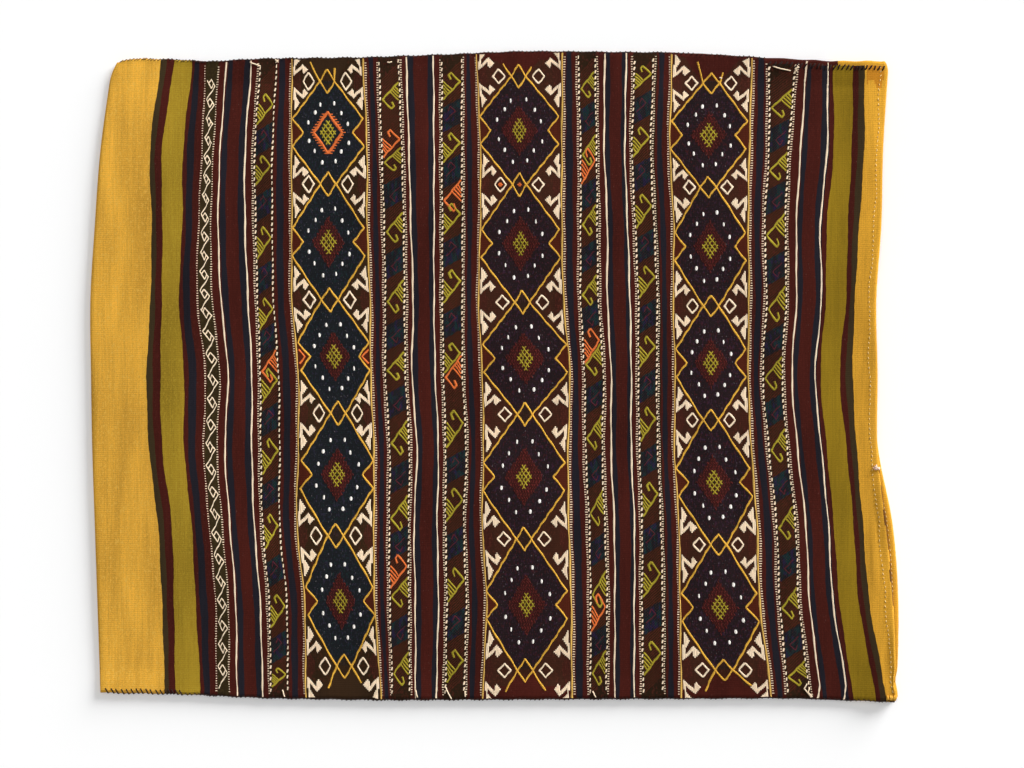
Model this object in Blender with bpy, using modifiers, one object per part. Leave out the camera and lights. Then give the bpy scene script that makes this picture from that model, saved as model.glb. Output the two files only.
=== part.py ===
"""A flat-woven saddle bag, empty and lying flat with its patterned front up.

One long cloth is folded at the bottom of the bag (-X), overcast along both sides (+Y and -Y)
and hemmed at its mouth (+X).  Metres, +Z up.  The origin is on the surface that the bag lies
on, below its middle.
"""

import math

import bmesh
import bpy
from mathutils import Vector

# The cloth
CLOTH_WIDTH = 1.037
CLOTH_THICK = 0.003
SEAM_GAP = 0.001
FOLD_GAP = 0.004
BODY_GAP = 0.012
MOUTH_GAP = 0.006
HEM_TURN = 0.018
HEM_GAP = 0.0008
HEM_CLEARANCE = 0.0004

# How far the rise of the front takes from a side, from the fold and to the mouth
SIDE_RUN = 0.20
FOLD_RUN = 0.12
MOUTH_RUN = 0.10

# The overcast side seams
YARN_THICK = 0.0013
SEAM_REACH = 0.008
SEAM_MARGIN = 0.012
CLEARANCE = 0.0003

# The tuft of thread that ties the two lips of the mouth together
TACK_Y = -0.149
TACK_RADIUS = 0.0009
TACK_KNOT = 2.4
TACK_TAIL = 0.0160

# The bands of the front, from the fold to the mouth
FOLD_YELLOW = 0.0880
FOLD_DARK = 0.0096
FOLD_MAROON = 0.0128
FOLD_GREEN = 0.0368
FOLD_NAVY = 0.0320
MEANDER_EDGE = 0.0048
MEANDER_FIELD = 0.0176
PLAIN_BANDS = (0.0592, 0.0544, 0.0528, 0.0592)
HOOK_BANDS = (0.0352, 0.0368, 0.0384, 0.0336, 0.0368, 0.0352)
DARK_BANDS = (0.0224, 0.0144, 0.0208, 0.0176, 0.0192, 0.0176)
MEDALLION_FIELDS = (0.1136, 0.1344, 0.1088)
CHAIN_LINE = 0.0080
IVORY_LINE = 0.0040
IVORY_INSET = 0.0080
HOOK_EDGE = 0.0064
MOUTH_GREEN = 0.0304
MOUTH_MAROON = 0.0208
MOUTH_YELLOW = 0.0400

# The back: yellow at its fold and mouth, dark red with navy bands between, and its sides a
# little inside the front's
BACK_YELLOW = 0.0880
BACK_NAVY = ("meander", "plain 3")
BACK_INSET = 0.0015

# Raised weaving
LINE_RISE = 0.0008
RIDGE_RISE = 0.0011
RIDGE_SINK = 0.0009
GOLD_LINE = 0.0034
HOOK_LINE = 0.0040
MEANDER_LINE = 0.0032

# Medallions of the three wide fields: lengths along the weft, from the upper side down
FIRST_JOINT_INSETS = (0.048, 0.041, 0.051)
MEDALLION_LENGTHS = ((0.165, 0.185, 0.180, 0.196, 0.206),
                     (0.174, 0.189, 0.179, 0.199, 0.212),
                     (0.167, 0.190, 0.182, 0.199, 0.199))
JOINT_HALF_WIDTH = 0.0122
JOINT_HALF_LENGTH = 0.0198
NOTCH_DEPTH = 0.0170
NOTCH_HALF_LENGTH = 0.0215
CENTRE_HALF_WIDTH = 0.0130
CENTRE_HALF_LENGTH = 0.0225
EYE_OFFSET = 0.0320
EYE_HALF_WIDTH = 0.0100
EYE_HALF_LENGTH = 0.0130
HORN = ((0.001, 0.0575), (0.0165, 0.041), (0.0173, 0.054), (0.0245, 0.046),
        (0.0168, 0.035), (0.0048, 0.044), (0.0120, 0.027), (0.0020, 0.013))
HORN_MEDALLION = 0.187

# Hooked figures of the six narrow bands: first one's inset from the upper side, and spacing
HOOK_PITCH = 0.1120
HOOK_FIRST_INSETS = (0.080, 0.072, 0.046, 0.048, 0.036, 0.072)
HOOK_LENGTH = 0.0480

MEANDER_PITCH = 0.0344
MEANDER_REACH = 0.0066

# How the bands wander, in millimetres towards the mouth, read at nine places from the upper
# side to the lower side.  Each row is for the band edge that it names.
WANDER_INSET = 0.0385
WANDER = {
    "fold": (30, 14, 4, -2, 0, 2, 6, 10, 13),
    "green end": (10, -2, -3, -8, 0, 0, 12, 18, 24),
    "plain 0": (-5, -12, -16, -11, 0, -5, 3, 12, 14),
    "hook 0": (-2, -9, -7, -4, 0, 1, 4, 14, 16),
    "field 0": (-11, -11, -10, -10, 0, 0, -2, 10, 11),
    "field 0 end": (-12, -6, -6, -1, 0, 5, 5, 6, 14),
    "hook 2": (-3, -2, -2, -2, 0, 5, 3, 5, 2),
    "field 1": (-8, -3, -3, -6, 0, 2, 0, 7, 2),
    "field 1 end": (-12, -13, -13, -10, 0, -3, -2, 2, 3),
    "hook 4": (-8, -9, -6, -3, 0, 1, 6, 8, 8),
    "field 2": (-5, -8, -2, -3, 0, -1, 6, 8, 10),
    "field 2 end": (6, 2, 0, 1, 0, 5, 14, 18, 34),
    "mouth green": (21, 19, 8, 10, 0, 10, 21, 28, 48),
    "mouth": (17, 9, 6, -2, 0, 0, 14, 25, 30),
}
BACK_MOUTH_WANDER = (11, 3, 0, -8, -6, 3, 26, 35, 34)

# How far the two sides draw in, in millimetres, at the band edges that are named
UPPER_DRAW = {"fold": 19, "fold dark": 13, "meander": 16, "hook 0": 12, "field 0 end": 10,
              "field 1": 3, "hook 3": 0, "field 2": 3, "field 2 end": 9, "plain 3": 14,
              "mouth green": 18, "mouth": 16}
LOWER_DRAW = {"fold": 11, "green": 10, "hook 0": 4, "field 0 end": 1, "plain 3": 2, "mouth": 0}

COLOURS = {
    "yellow": (0.69, 0.36, 0.04),
    "green": (0.29, 0.21, 0.02),
    "maroon": (0.065, 0.012, 0.011),
    "navy": (0.009, 0.014, 0.028),
    "brown": (0.030, 0.017, 0.009),
    "ivory": (0.80, 0.68, 0.48),
    "gold": (0.58, 0.31, 0.04),
    "orange": (0.68, 0.12, 0.03),
    "hook green": (0.33, 0.28, 0.03),
    "midnight": (0.009, 0.010, 0.018),
    "aubergine": (0.020, 0.010, 0.014),
    "dark red": (0.085, 0.014, 0.012),
}


def make_material(name, colour, roughness=0.9):
    material = bpy.data.materials.new(name)
    material.use_nodes = True
    shader = material.node_tree.nodes["Principled BSDF"]
    shader.inputs["Base Color"].default_value = (*colour, 1.0)
    shader.inputs["Roughness"].default_value = roughness
    shader.inputs["Metallic"].default_value = 0.0
    return material


def smooth(value):
    """Ease from 0 to 1 as value goes from 0 to 1."""
    value = min(max(value, 0.0), 1.0)
    return value * value * (3.0 - 2.0 * value)


def between(table, place):
    """Read a table of (place, value) pairs at a place, straight between its rows."""
    for (low, low_value), (high, high_value) in zip(table, table[1:]):
        if place <= high:
            break
    share = (place - low) / (high - low)
    return low_value + (high_value - low_value) * share


def front_bands():
    """The front's bands from fold to mouth: name, width, colour and whether it is raised."""
    bands = [("fold", FOLD_YELLOW, "yellow", False),
             ("fold dark", FOLD_DARK, "brown", False),
             ("fold maroon", FOLD_MAROON, "maroon", False),
             ("green", FOLD_GREEN, "green", False),
             ("green end", FOLD_NAVY, "navy", False),
             ("meander edge", MEANDER_EDGE, "ivory", True),
             ("meander", MEANDER_FIELD, "brown", False),
             ("meander end", MEANDER_EDGE, "ivory", True)]
    bands += plain_band(0)
    for column, field in enumerate(MEDALLION_FIELDS):
        colour = "midnight" if column == 0 else "aubergine"
        bands += hook_band(2 * column)
        bands += [(f"dark {2 * column}", DARK_BANDS[2 * column], "navy", False),
                  (f"chain {column}", CHAIN_LINE, "gold", True),
                  (f"field {column}", field, colour, False),
                  (f"field {column} end", CHAIN_LINE, "gold", True),
                  (f"dark {2 * column + 1}", DARK_BANDS[2 * column + 1], "navy", False)]
        bands += hook_band(2 * column + 1)
        bands += plain_band(column + 1)
    bands += [("mouth green", MOUTH_GREEN, "green", False),
              ("mouth maroon", MOUTH_MAROON, "maroon", False),
              ("mouth yellow", MOUTH_YELLOW, "yellow", False)]
    return bands


def plain_band(index):
    """Maroon, with an ivory line near each of its edges."""
    middle = PLAIN_BANDS[index] - 2.0 * (IVORY_INSET + IVORY_LINE)
    return [(f"plain {index}", IVORY_INSET, "maroon", False),
            (f"ivory {index}", IVORY_LINE, "ivory", True),
            (f"plain {index} middle", middle, "maroon", False),
            (f"ivory {index} end", IVORY_LINE, "ivory", True),
            (f"plain {index} end", IVORY_INSET, "maroon", False)]


def hook_band(index):
    """A dark field for the hooked figures, between two ivory dashed lines."""
    middle = HOOK_BANDS[index] - 2.0 * HOOK_EDGE
    return [(f"hook {index}", HOOK_EDGE, "ivory", False),
            (f"hook {index} field", middle, "navy", False),
            (f"hook {index} end", HOOK_EDGE, "ivory", False)]


BANDS = front_bands()
LENGTH = sum(width for _, width, _, _ in BANDS)
HALF_WIDTH = CLOTH_WIDTH / 2.0
FOLD_X = -(LENGTH + (max(BACK_MOUTH_WANDER) + min(WANDER["fold"])) / 1000.0) / 2.0
HEM_RADIUS = CLOTH_THICK + HEM_GAP / 2.0
SEAM_LIFT = YARN_THICK + CLEARANCE
SEAM_STOP = HEM_TURN + 3.0 * HEM_RADIUS


def band_starts():
    """Each band's distance from the fold, by its name."""
    starts = {}
    distance = 0.0
    for name, width, _, _ in BANDS:
        starts[name] = distance
        distance += width
    starts["mouth"] = distance
    return starts


STARTS = band_starts()


def wander_rows():
    """The heights at which the wandering of the bands was read, lower side first."""
    reach = HALF_WIDTH - WANDER_INSET
    return [-reach + 2.0 * reach * row / 8.0 for row in range(9)]


def side_edges(distance):
    """The cloth's lower and upper side at a distance from the fold."""
    lower_draw = between([(STARTS[name], draw) for name, draw in LOWER_DRAW.items()], distance)
    upper_draw = between([(STARTS[name], draw) for name, draw in UPPER_DRAW.items()], distance)
    return -HALF_WIDTH + lower_draw / 1000.0, HALF_WIDTH - upper_draw / 1000.0


def rows_at(distance):
    """Where the rows of the cloth's grid lie, lower side first."""
    lower, upper = side_edges(distance)
    return [lower, lower + SEAM_MARGIN, *wander_rows(), upper - SEAM_MARGIN, upper]


ROW_COUNT = len(rows_at(0.0))


def row_wander(readings, row):
    """One reading in metres, at a row of the grid; the outer rows carry on from the last two."""
    lower_first = readings[::-1]
    inner = min(max(row - 2, 0), 8)
    value = lower_first[inner]
    if row < 2:
        value += (lower_first[0] - lower_first[1]) * 0.15 * (2 - row)
    if row > 10:
        value += (lower_first[8] - lower_first[7]) * 0.15 * (row - 10)
    return value / 1000.0


def front_x(distance, row):
    """X of the front at a distance from the fold, with the wandering of its bands."""
    table = [(STARTS[name], row_wander(readings, row)) for name, readings in WANDER.items()]
    return FOLD_X + distance + between(table, distance)


def back_x(distance, row):
    """X of the plain back, which wanders with the fold and with its own lip."""
    at_fold = row_wander(WANDER["fold"], row)
    at_mouth = row_wander(BACK_MOUTH_WANDER, row)
    return FOLD_X + distance + at_fold + (at_mouth - at_fold) * distance / LENGTH


def from_side(row):
    """How far a row is from the sewn margin."""
    inner = [0.0, SEAM_MARGIN] + [HALF_WIDTH - abs(y) for y in wander_rows()] + [SEAM_MARGIN, 0.0]
    return max(inner[row] - SEAM_MARGIN, 0.0)


def seam_lift(row):
    """The sewn sides lie on their yarn, a little above the surface below."""
    return SEAM_LIFT if from_side(row) == 0.0 else 0.0


def front_height(distance, row):
    """Height of the front's upper face."""
    share = min(from_side(row) / SIDE_RUN, 1.0)
    rise = 1.0 - (1.0 - share) ** 2
    middle_gap = FOLD_GAP + (BODY_GAP - FOLD_GAP) * smooth(distance / FOLD_RUN)
    body = SEAM_GAP + (middle_gap - SEAM_GAP) * rise
    hems = 2.0 * (CLOTH_THICK + HEM_GAP)
    mouth = hems + HEM_CLEARANCE + (MOUTH_GAP - HEM_CLEARANCE) * rise
    near_mouth = smooth((distance - LENGTH + MOUTH_RUN) / (MOUTH_RUN - 2.0 * HEM_TURN))
    gap = body + (mouth - body) * near_mouth
    return seam_lift(row) + 2.0 * CLOTH_THICK + gap


def row_point(distance, row, rise=0.0):
    """A point of the front's upper face on a row of the grid."""
    if from_side(row) == 0.0:
        rise = 0.0
    return Vector((front_x(distance, row), rows_at(distance)[row],
                   front_height(distance, row) + rise))


def on_front(distance, y):
    """A point of the front's upper face at any height across the cloth."""
    rows = rows_at(distance)
    row = max(index for index in range(ROW_COUNT - 1) if rows[index] <= y)
    share = (y - rows[row]) / (rows[row + 1] - rows[row])
    return row_point(distance, row).lerp(row_point(distance, row + 1), share)


def front_columns(start):
    """Distances from the fold of the front's columns, with rise and the colour that follows."""
    columns = [(start, 0.0, "yellow"), (FOLD_RUN / 3.0, 0.0, "yellow")]
    for name, width, colour, raised in BANDS[1:]:
        columns.append((STARTS[name], 0.0, colour))
        if raised:
            columns.append((STARTS[name] + width / 2.0, LINE_RISE, colour))
    columns.append((LENGTH - SEAM_STOP, 0.0, "yellow"))
    return columns


def cloth_path():
    """Stations along the whole cloth, from the front's raw edge to the back's raw edge.

    Each station is a function that gives the outer face's point at a row, and a colour."""
    path = []
    steps = 4

    def hem(place, centre_height, angle):
        """A point of a lip's round bend, which turns about a centre inside the lip."""
        def point(row):
            edge = place(LENGTH, row)
            height = centre_height(row)
            return Vector((edge - HEM_RADIUS + HEM_RADIUS * math.sin(angle),
                           rows_at(LENGTH)[row],
                           height + HEM_RADIUS * math.cos(angle)))
        return point

    def front_turn(distance):
        def point(row):
            top = row_point(distance - HEM_RADIUS, row)
            return top - Vector((0.0, 0.0, 2.0 * HEM_RADIUS))
        return point

    def back_point(distance, height):
        def point(row):
            inset = {0: BACK_INSET, ROW_COUNT - 1: -BACK_INSET}.get(row, 0.0)
            return Vector((back_x(distance, row), rows_at(distance)[row] + inset,
                           seam_lift(row) + height))
        return point

    def fold_point(angle):
        def point(row):
            radius = (front_height(0.0, row) - seam_lift(row)) / 2.0
            return Vector((front_x(0.0, row) + radius - radius * math.sin(angle),
                           rows_at(0.0)[row],
                           seam_lift(row) + radius + radius * math.cos(angle)))
        return point

    def front_point(distance, rise):
        return lambda row: row_point(distance, row, rise)

    def lip_height(row):
        return front_height(LENGTH, row) - HEM_RADIUS

    def back_lip_height(row):
        return seam_lift(row) + HEM_RADIUS

    path.append((front_turn(LENGTH - HEM_TURN), "yellow"))
    for step in range(steps, -1, -1):
        path.append((hem(front_x, lip_height, math.pi * step / steps), "yellow"))
    fold_start = CLOTH_THICK + FOLD_GAP / 2.0
    columns = front_columns(fold_start)
    for index in range(len(columns) - 1, 0, -1):
        distance, rise, _ = columns[index]
        path.append((front_point(distance, rise), columns[index - 1][2]))
    for step in range(steps + 1):
        path.append((fold_point(math.pi * step / steps), "yellow"))
    path.append((back_point(BACK_YELLOW, 0.0), "dark red"))
    for name in sorted(UPPER_DRAW, key=STARTS.get):
        if BACK_YELLOW < STARTS[name] < LENGTH - BACK_YELLOW:
            colour = "navy" if name in BACK_NAVY else "dark red"
            path.append((back_point(STARTS[name], 0.0), colour))
    path.append((back_point(LENGTH - BACK_YELLOW, 0.0), "yellow"))
    for step in range(steps, -1, -1):
        path.append((hem(back_x, back_lip_height, math.pi * step / steps), "yellow"))
    path.append((back_point(LENGTH - HEM_RADIUS - HEM_TURN, 2.0 * HEM_RADIUS), "yellow"))
    return path


def link(name, mesh, collection):
    thing = bpy.data.objects.new(name, mesh)
    collection.objects.link(thing)
    return thing


def add_materials(mesh, names):
    for name in names:
        mesh.materials.append(bpy.data.materials[name])


def cloth_surface(slots):
    """The cloth's outer face as one open grid."""
    surface = bmesh.new()
    path = cloth_path()
    columns = [[surface.verts.new(point(row)) for row in range(ROW_COUNT)] for point, _ in path]
    for index, (left, right) in enumerate(zip(columns, columns[1:])):
        slot = slots.index(path[index][1])
        for row in range(ROW_COUNT - 1):
            face = surface.faces.new((left[row], left[row + 1], right[row + 1], right[row]))
            face.material_index = slot
            face.smooth = True
    mesh = bpy.data.meshes.new("woven_cloth")
    surface.normal_update()
    surface.to_mesh(mesh)
    surface.free()
    return mesh


def add_ridge(work, route, width, slot, closed=False):
    """A low roof-shaped ridge along a route of (distance, y) places, sunk into the cloth."""
    points = [on_front(*place) for place in route]
    count = len(points)
    sections = []
    for index, point in enumerate(points):
        before = points[index - 1] if index > 0 or closed else None
        after = points[(index + 1) % count] if index < count - 1 or closed else None
        arrive = (point - before).xy.normalized() if before else (after - point).xy.normalized()
        leave = (after - point).xy.normalized() if after else arrive
        along = (arrive + leave).normalized()
        across = Vector((-along.y, along.x, 0.0)) * width / 2.0 / max(along.dot(arrive), 0.5)
        spread = 1.0 + RIDGE_SINK / RIDGE_RISE
        foot = point - Vector((0.0, 0.0, RIDGE_SINK))
        crest = point + Vector((0.0, 0.0, RIDGE_RISE))
        sections.append([work.verts.new(place) for place in
                         (foot + across * spread, crest, foot - across * spread)])
    pairs = list(zip(sections, sections[1:]))
    if closed:
        pairs.append((sections[-1], sections[0]))
    for start, end in pairs:
        for side in range(3):
            face = work.faces.new((start[side], start[(side + 1) % 3],
                                   end[(side + 1) % 3], end[side]))
            face.material_index = slot
    if not closed:
        work.faces.new(sections[0][::-1]).material_index = slot
        work.faces.new(sections[-1]).material_index = slot


def add_plateau(work, outline, slot):
    """A low flat figure with the outline given as (distance, y) places."""
    base = [on_front(*place) for place in outline]
    bottom = [work.verts.new(point - Vector((0.0, 0.0, RIDGE_SINK))) for point in base]
    top = [work.verts.new(point + Vector((0.0, 0.0, RIDGE_RISE))) for point in base]
    faces = [work.faces.new(bottom[::-1]), work.faces.new(top)]
    count = len(base)
    for index in range(count):
        following = (index + 1) % count
        faces.append(work.faces.new((bottom[index], bottom[following],
                                     top[following], top[index])))
    for face in faces:
        face.material_index = slot


def diamond(middle, y, half_width, half_length):
    return [(middle, y + half_length), (middle + half_width, y),
            (middle, y - half_length), (middle - half_width, y)]


def horn(edge, side, shoulder, way, stretch):
    """The hooked ivory figure in a corner: a long horn on the border with a barbed arm.

    side is 1 where the field lies towards the mouth, way is 1 above the medallion's shoulder."""
    points = [(edge + side * across, shoulder + way * stretch * along) for across, along in HORN]
    return points if side * way < 0 else points[::-1]


def first_joint(column):
    """The height of a column's highest joint."""
    return HALF_WIDTH - FIRST_JOINT_INSETS[column]


def medallion(work, column, upper, lower, slots):
    """One six-sided medallion between two joints, with its corner figures."""
    start = STARTS[f"field {column}"]
    end = STARTS[f"field {column} end"]
    middle = (start + end) / 2.0
    centre = (upper + lower) / 2.0
    for side, edge in ((1, start), (-1, end)):
        corner = middle - side * JOINT_HALF_WIDTH
        shoulder = edge + side * GOLD_LINE
        notch = edge + side * NOTCH_DEPTH
        add_ridge(work, [(corner, upper), (shoulder, centre + NOTCH_HALF_LENGTH), (notch, centre),
                         (shoulder, centre - NOTCH_HALF_LENGTH), (corner, lower)],
                  GOLD_LINE, slots.index("gold"))
        for way in (1, -1):
            stretch = (upper - lower) / HORN_MEDALLION
            outline = horn(edge, side, centre + way * NOTCH_HALF_LENGTH, way, stretch)
            add_plateau(work, outline, slots.index("ivory"))
    kind = "orange" if column == 0 and upper == first_joint(0) else "dark red"
    add_ridge(work, diamond(middle, centre, CENTRE_HALF_WIDTH, CENTRE_HALF_LENGTH),
              HOOK_LINE, slots.index(kind), closed=True)


def joint(work, column, y, slots):
    """The small gold diamond that two medallions share, with an open ivory eye on each side."""
    start = STARTS[f"field {column}"]
    end = STARTS[f"field {column} end"]
    middle = (start + end) / 2.0
    add_ridge(work, diamond(middle, y, JOINT_HALF_WIDTH, JOINT_HALF_LENGTH),
              GOLD_LINE, slots.index("gold"), closed=True)
    for side in (1, -1):
        add_ridge(work, diamond(middle + side * EYE_OFFSET, y, EYE_HALF_WIDTH, EYE_HALF_LENGTH),
                  GOLD_LINE, slots.index("ivory"), closed=True)


def medallions(work, slots):
    for column, lengths in enumerate(MEDALLION_LENGTHS):
        upper = first_joint(column)
        joint(work, column, upper, slots)
        for length in lengths:
            lower = upper - length
            if lower - JOINT_HALF_LENGTH < -HALF_WIDTH + SEAM_MARGIN:
                break
            medallion(work, column, upper, lower, slots)
            joint(work, column, lower, slots)
            upper = lower


def hooks(work, slots):
    """Rows of hooked figures; every second band is turned half round."""
    for band, inset in enumerate(HOOK_FIRST_INSETS):
        low = STARTS[f"hook {band} field"]
        high = STARTS[f"hook {band} end"]
        turn = 1 if band % 2 == 0 else -1
        near, far = (low, high) if turn == 1 else (high, low)
        reach = far - near
        y = HALF_WIDTH - inset
        while y - HOOK_LENGTH > -HALF_WIDTH + SEAM_MARGIN:
            centre = y - HOOK_LENGTH / 2.0
            tip = turn * HOOK_LENGTH / 2.0
            route = [(near + 0.10 * reach, centre - tip), (near + 0.88 * reach, centre + 0.25 * tip),
                     (near + 0.48 * reach, centre + 0.92 * tip)]
            add_ridge(work, route, HOOK_LINE, slots.index("hook green"))
            y -= HOOK_PITCH


def meander(work, slots):
    """The running line of small hooks, as one zigzag along the whole band."""
    middle = STARTS["meander"] + MEANDER_FIELD / 2.0
    route = []
    y = HALF_WIDTH - WANDER_INSET
    side = 1
    while y > -HALF_WIDTH + WANDER_INSET:
        route.append((middle + side * MEANDER_REACH / 2.0, y))
        y -= MEANDER_PITCH / 2.0
        side = -side
    add_ridge(work, route, MEANDER_LINE, slots.index("ivory"))


def brocade_mesh(slots):
    """Everything that is brocaded on top of the ground weave."""
    work = bmesh.new()
    medallions(work, slots)
    hooks(work, slots)
    meander(work, slots)
    bmesh.ops.recalc_face_normals(work, faces=work.faces)
    mesh = bpy.data.meshes.new("brocade")
    work.to_mesh(mesh)
    work.free()
    return mesh


def woven_cloth(parts, guides):
    slots = list(COLOURS)
    cloth = link("woven_cloth", cloth_surface(slots), parts)
    add_materials(cloth.data, slots)
    thick = cloth.modifiers.new("thickness", "SOLIDIFY")
    thick.thickness = CLOTH_THICK
    thick.offset = -1.0
    thick.use_even_offset = True
    brocade = link("brocade", brocade_mesh(slots), guides)
    add_materials(brocade.data, slots)
    brocade.hide_render = True
    brocade.display_type = "WIRE"
    union = cloth.modifiers.new("brocade", "BOOLEAN")
    union.operation = "UNION"
    union.solver = "EXACT"
    union.use_self = True
    union.object = brocade
    weld = cloth.modifiers.new("weld", "WELD")
    weld.merge_threshold = 0.00005
    return cloth


def seam_section(distance, row, side):
    """The C-shaped section of the yarn wound round both layers at one side."""
    edge = row_point(distance, row)
    reach = edge.lerp(row_point(distance, row - side), SEAM_REACH / SEAM_MARGIN)
    bottom = seam_lift(row) - CLEARANCE
    outer = edge + Vector((0.0, side * CLEARANCE, 0.0))
    skin = edge + Vector((0.0, side * (CLEARANCE + YARN_THICK), 0.0))
    return [Vector((reach.x, reach.y, reach.z + CLEARANCE)),
            Vector((outer.x, outer.y, outer.z + CLEARANCE)),
            Vector((outer.x, outer.y, bottom)),
            Vector((reach.x, reach.y, bottom)),
            Vector((reach.x, reach.y, bottom - YARN_THICK)),
            Vector((skin.x, skin.y, bottom - YARN_THICK)),
            Vector((skin.x, skin.y, skin.z + CLEARANCE + YARN_THICK)),
            Vector((reach.x, reach.y, reach.z + CLEARANCE + YARN_THICK))]


def seam_stations():
    """Distances from the fold where the cloth's edge turns, between the fold and the hem."""
    first = 2.0 * CLOTH_THICK + FOLD_GAP
    last = LENGTH - SEAM_STOP
    turns = {STARTS[name] for table in (WANDER, UPPER_DRAW, LOWER_DRAW) for name in table}
    rising = {distance for distance, _, _ in front_columns(first)
              if distance > STARTS["plain 3"]}
    inner = [distance for distance in turns | rising if first < distance < last]
    return [first, *sorted(inner), last]


def side_seam(name, row, side, parts):
    """Overcast yarn along one side, from the fold to the hem."""
    work = bmesh.new()
    sections = []
    for distance in seam_stations():
        points = seam_section(distance, row, side)
        sections.append([work.verts.new(point) for point in points])
    for start, end in zip(sections, sections[1:]):
        for index in range(len(start)):
            following = (index + 1) % len(start)
            work.faces.new((start[index], start[following], end[following], end[index]))
    work.faces.new(sections[0])
    work.faces.new(sections[-1])
    bmesh.ops.recalc_face_normals(work, faces=work.faces)
    mesh = bpy.data.meshes.new(name)
    work.to_mesh(mesh)
    work.free()
    seam = link(name, mesh, parts)
    seam.data.materials.append(bpy.data.materials["seam yarn"])
    return seam


def mouth_tack(parts):
    """The tack: a knot and tail on the front lip, and a thread down to the back lip."""
    lip = on_front(LENGTH, TACK_Y)
    bend = lip - Vector((HEM_RADIUS, 0.0, HEM_RADIUS))
    around = HEM_RADIUS + TACK_RADIUS + CLEARANCE
    route = []
    for back, fatness in ((TACK_TAIL, 1.0), (0.65 * TACK_TAIL, 1.6), (0.5 * TACK_TAIL, TACK_KNOT),
                          (0.35 * TACK_TAIL, 1.6), (HEM_RADIUS, 1.0)):
        height = fatness * TACK_RADIUS + CLEARANCE
        route.append((lip + Vector((-back, 0.0, height)), fatness))
    for step in (1, 2, 3):
        angle = math.pi / 2.0 * step / 3.0
        route.append((bend + Vector((math.sin(angle), 0.0, math.cos(angle))) * around, 1.0))
    foot = Vector((bend.x + around, TACK_Y, 2.0 * HEM_RADIUS + TACK_RADIUS + CLEARANCE))
    route.append((foot, 1.0))
    curve = bpy.data.curves.new("mouth_tack_thread", "CURVE")
    curve.dimensions = "3D"
    curve.bevel_depth = TACK_RADIUS
    curve.bevel_resolution = 2
    curve.use_fill_caps = True
    spline = curve.splines.new("POLY")
    spline.points.add(len(route) - 1)
    for point, (place, fatness) in zip(spline.points, route):
        point.co = (*place, 1.0)
        point.radius = fatness
    tack = link("mouth_tack_thread", curve, parts)
    tack.data.materials.append(bpy.data.materials["tack thread"])
    return tack


def main():
    for thing in list(bpy.data.objects):
        bpy.data.objects.remove(thing, do_unlink=True)
    parts = bpy.data.collections.new("saddle_bag")
    guides = bpy.data.collections.new("cutters")
    bpy.context.scene.collection.children.link(parts)
    bpy.context.scene.collection.children.link(guides)
    for name, colour in COLOURS.items():
        make_material(name, colour)
    make_material("seam yarn", (0.022, 0.013, 0.010))
    make_material("tack thread", (0.55, 0.30, 0.25))
    woven_cloth(parts, guides)
    side_seam("upper_side_seam_yarn", ROW_COUNT - 1, 1, parts)
    side_seam("lower_side_seam_yarn", 0, -1, parts)
    mouth_tack(parts)


main()
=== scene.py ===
# %% [markdown]
# # A kilim saddle bag, dressed around its solid model
#
# The bag is one long wool cloth, folded at the left, sewn along both sides and open at the
# right. Its front is a flat weave with raised brocade. This lesson loads the solid model as
# a fixed frame, weaves the cloth as one mesh, lays the brocade on it stitch by stitch, and
# then sews, lights and frames the bag. All lengths are in metres.

# %% Load the frame
import math

import bpy
import numpy as np
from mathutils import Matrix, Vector


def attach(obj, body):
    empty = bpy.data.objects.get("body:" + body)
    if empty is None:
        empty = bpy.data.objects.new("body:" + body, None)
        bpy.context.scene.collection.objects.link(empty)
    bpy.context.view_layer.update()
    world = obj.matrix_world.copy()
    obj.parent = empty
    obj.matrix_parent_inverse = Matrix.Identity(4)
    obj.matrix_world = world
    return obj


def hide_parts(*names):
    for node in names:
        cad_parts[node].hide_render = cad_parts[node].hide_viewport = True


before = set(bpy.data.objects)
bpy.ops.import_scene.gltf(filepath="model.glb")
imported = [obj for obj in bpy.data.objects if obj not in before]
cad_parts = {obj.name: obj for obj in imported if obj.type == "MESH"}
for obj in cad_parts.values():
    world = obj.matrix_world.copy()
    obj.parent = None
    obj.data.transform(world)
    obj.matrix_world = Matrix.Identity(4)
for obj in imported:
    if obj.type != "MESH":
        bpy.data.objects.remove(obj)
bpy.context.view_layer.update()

MM = 0.001

# %% [markdown]
# ## Where the bands run
#
# A hand-woven band is never straight: the weaver beats one side harder than the other. So
# each line of the front has a distance from the fold, taken in the middle, and nine readings
# of how far it wanders towards the mouth, from the upper side to the lower side. Everything
# on the front is placed by its distance along the cloth and its height across it, so the
# whole pattern wanders with the weave.

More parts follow.
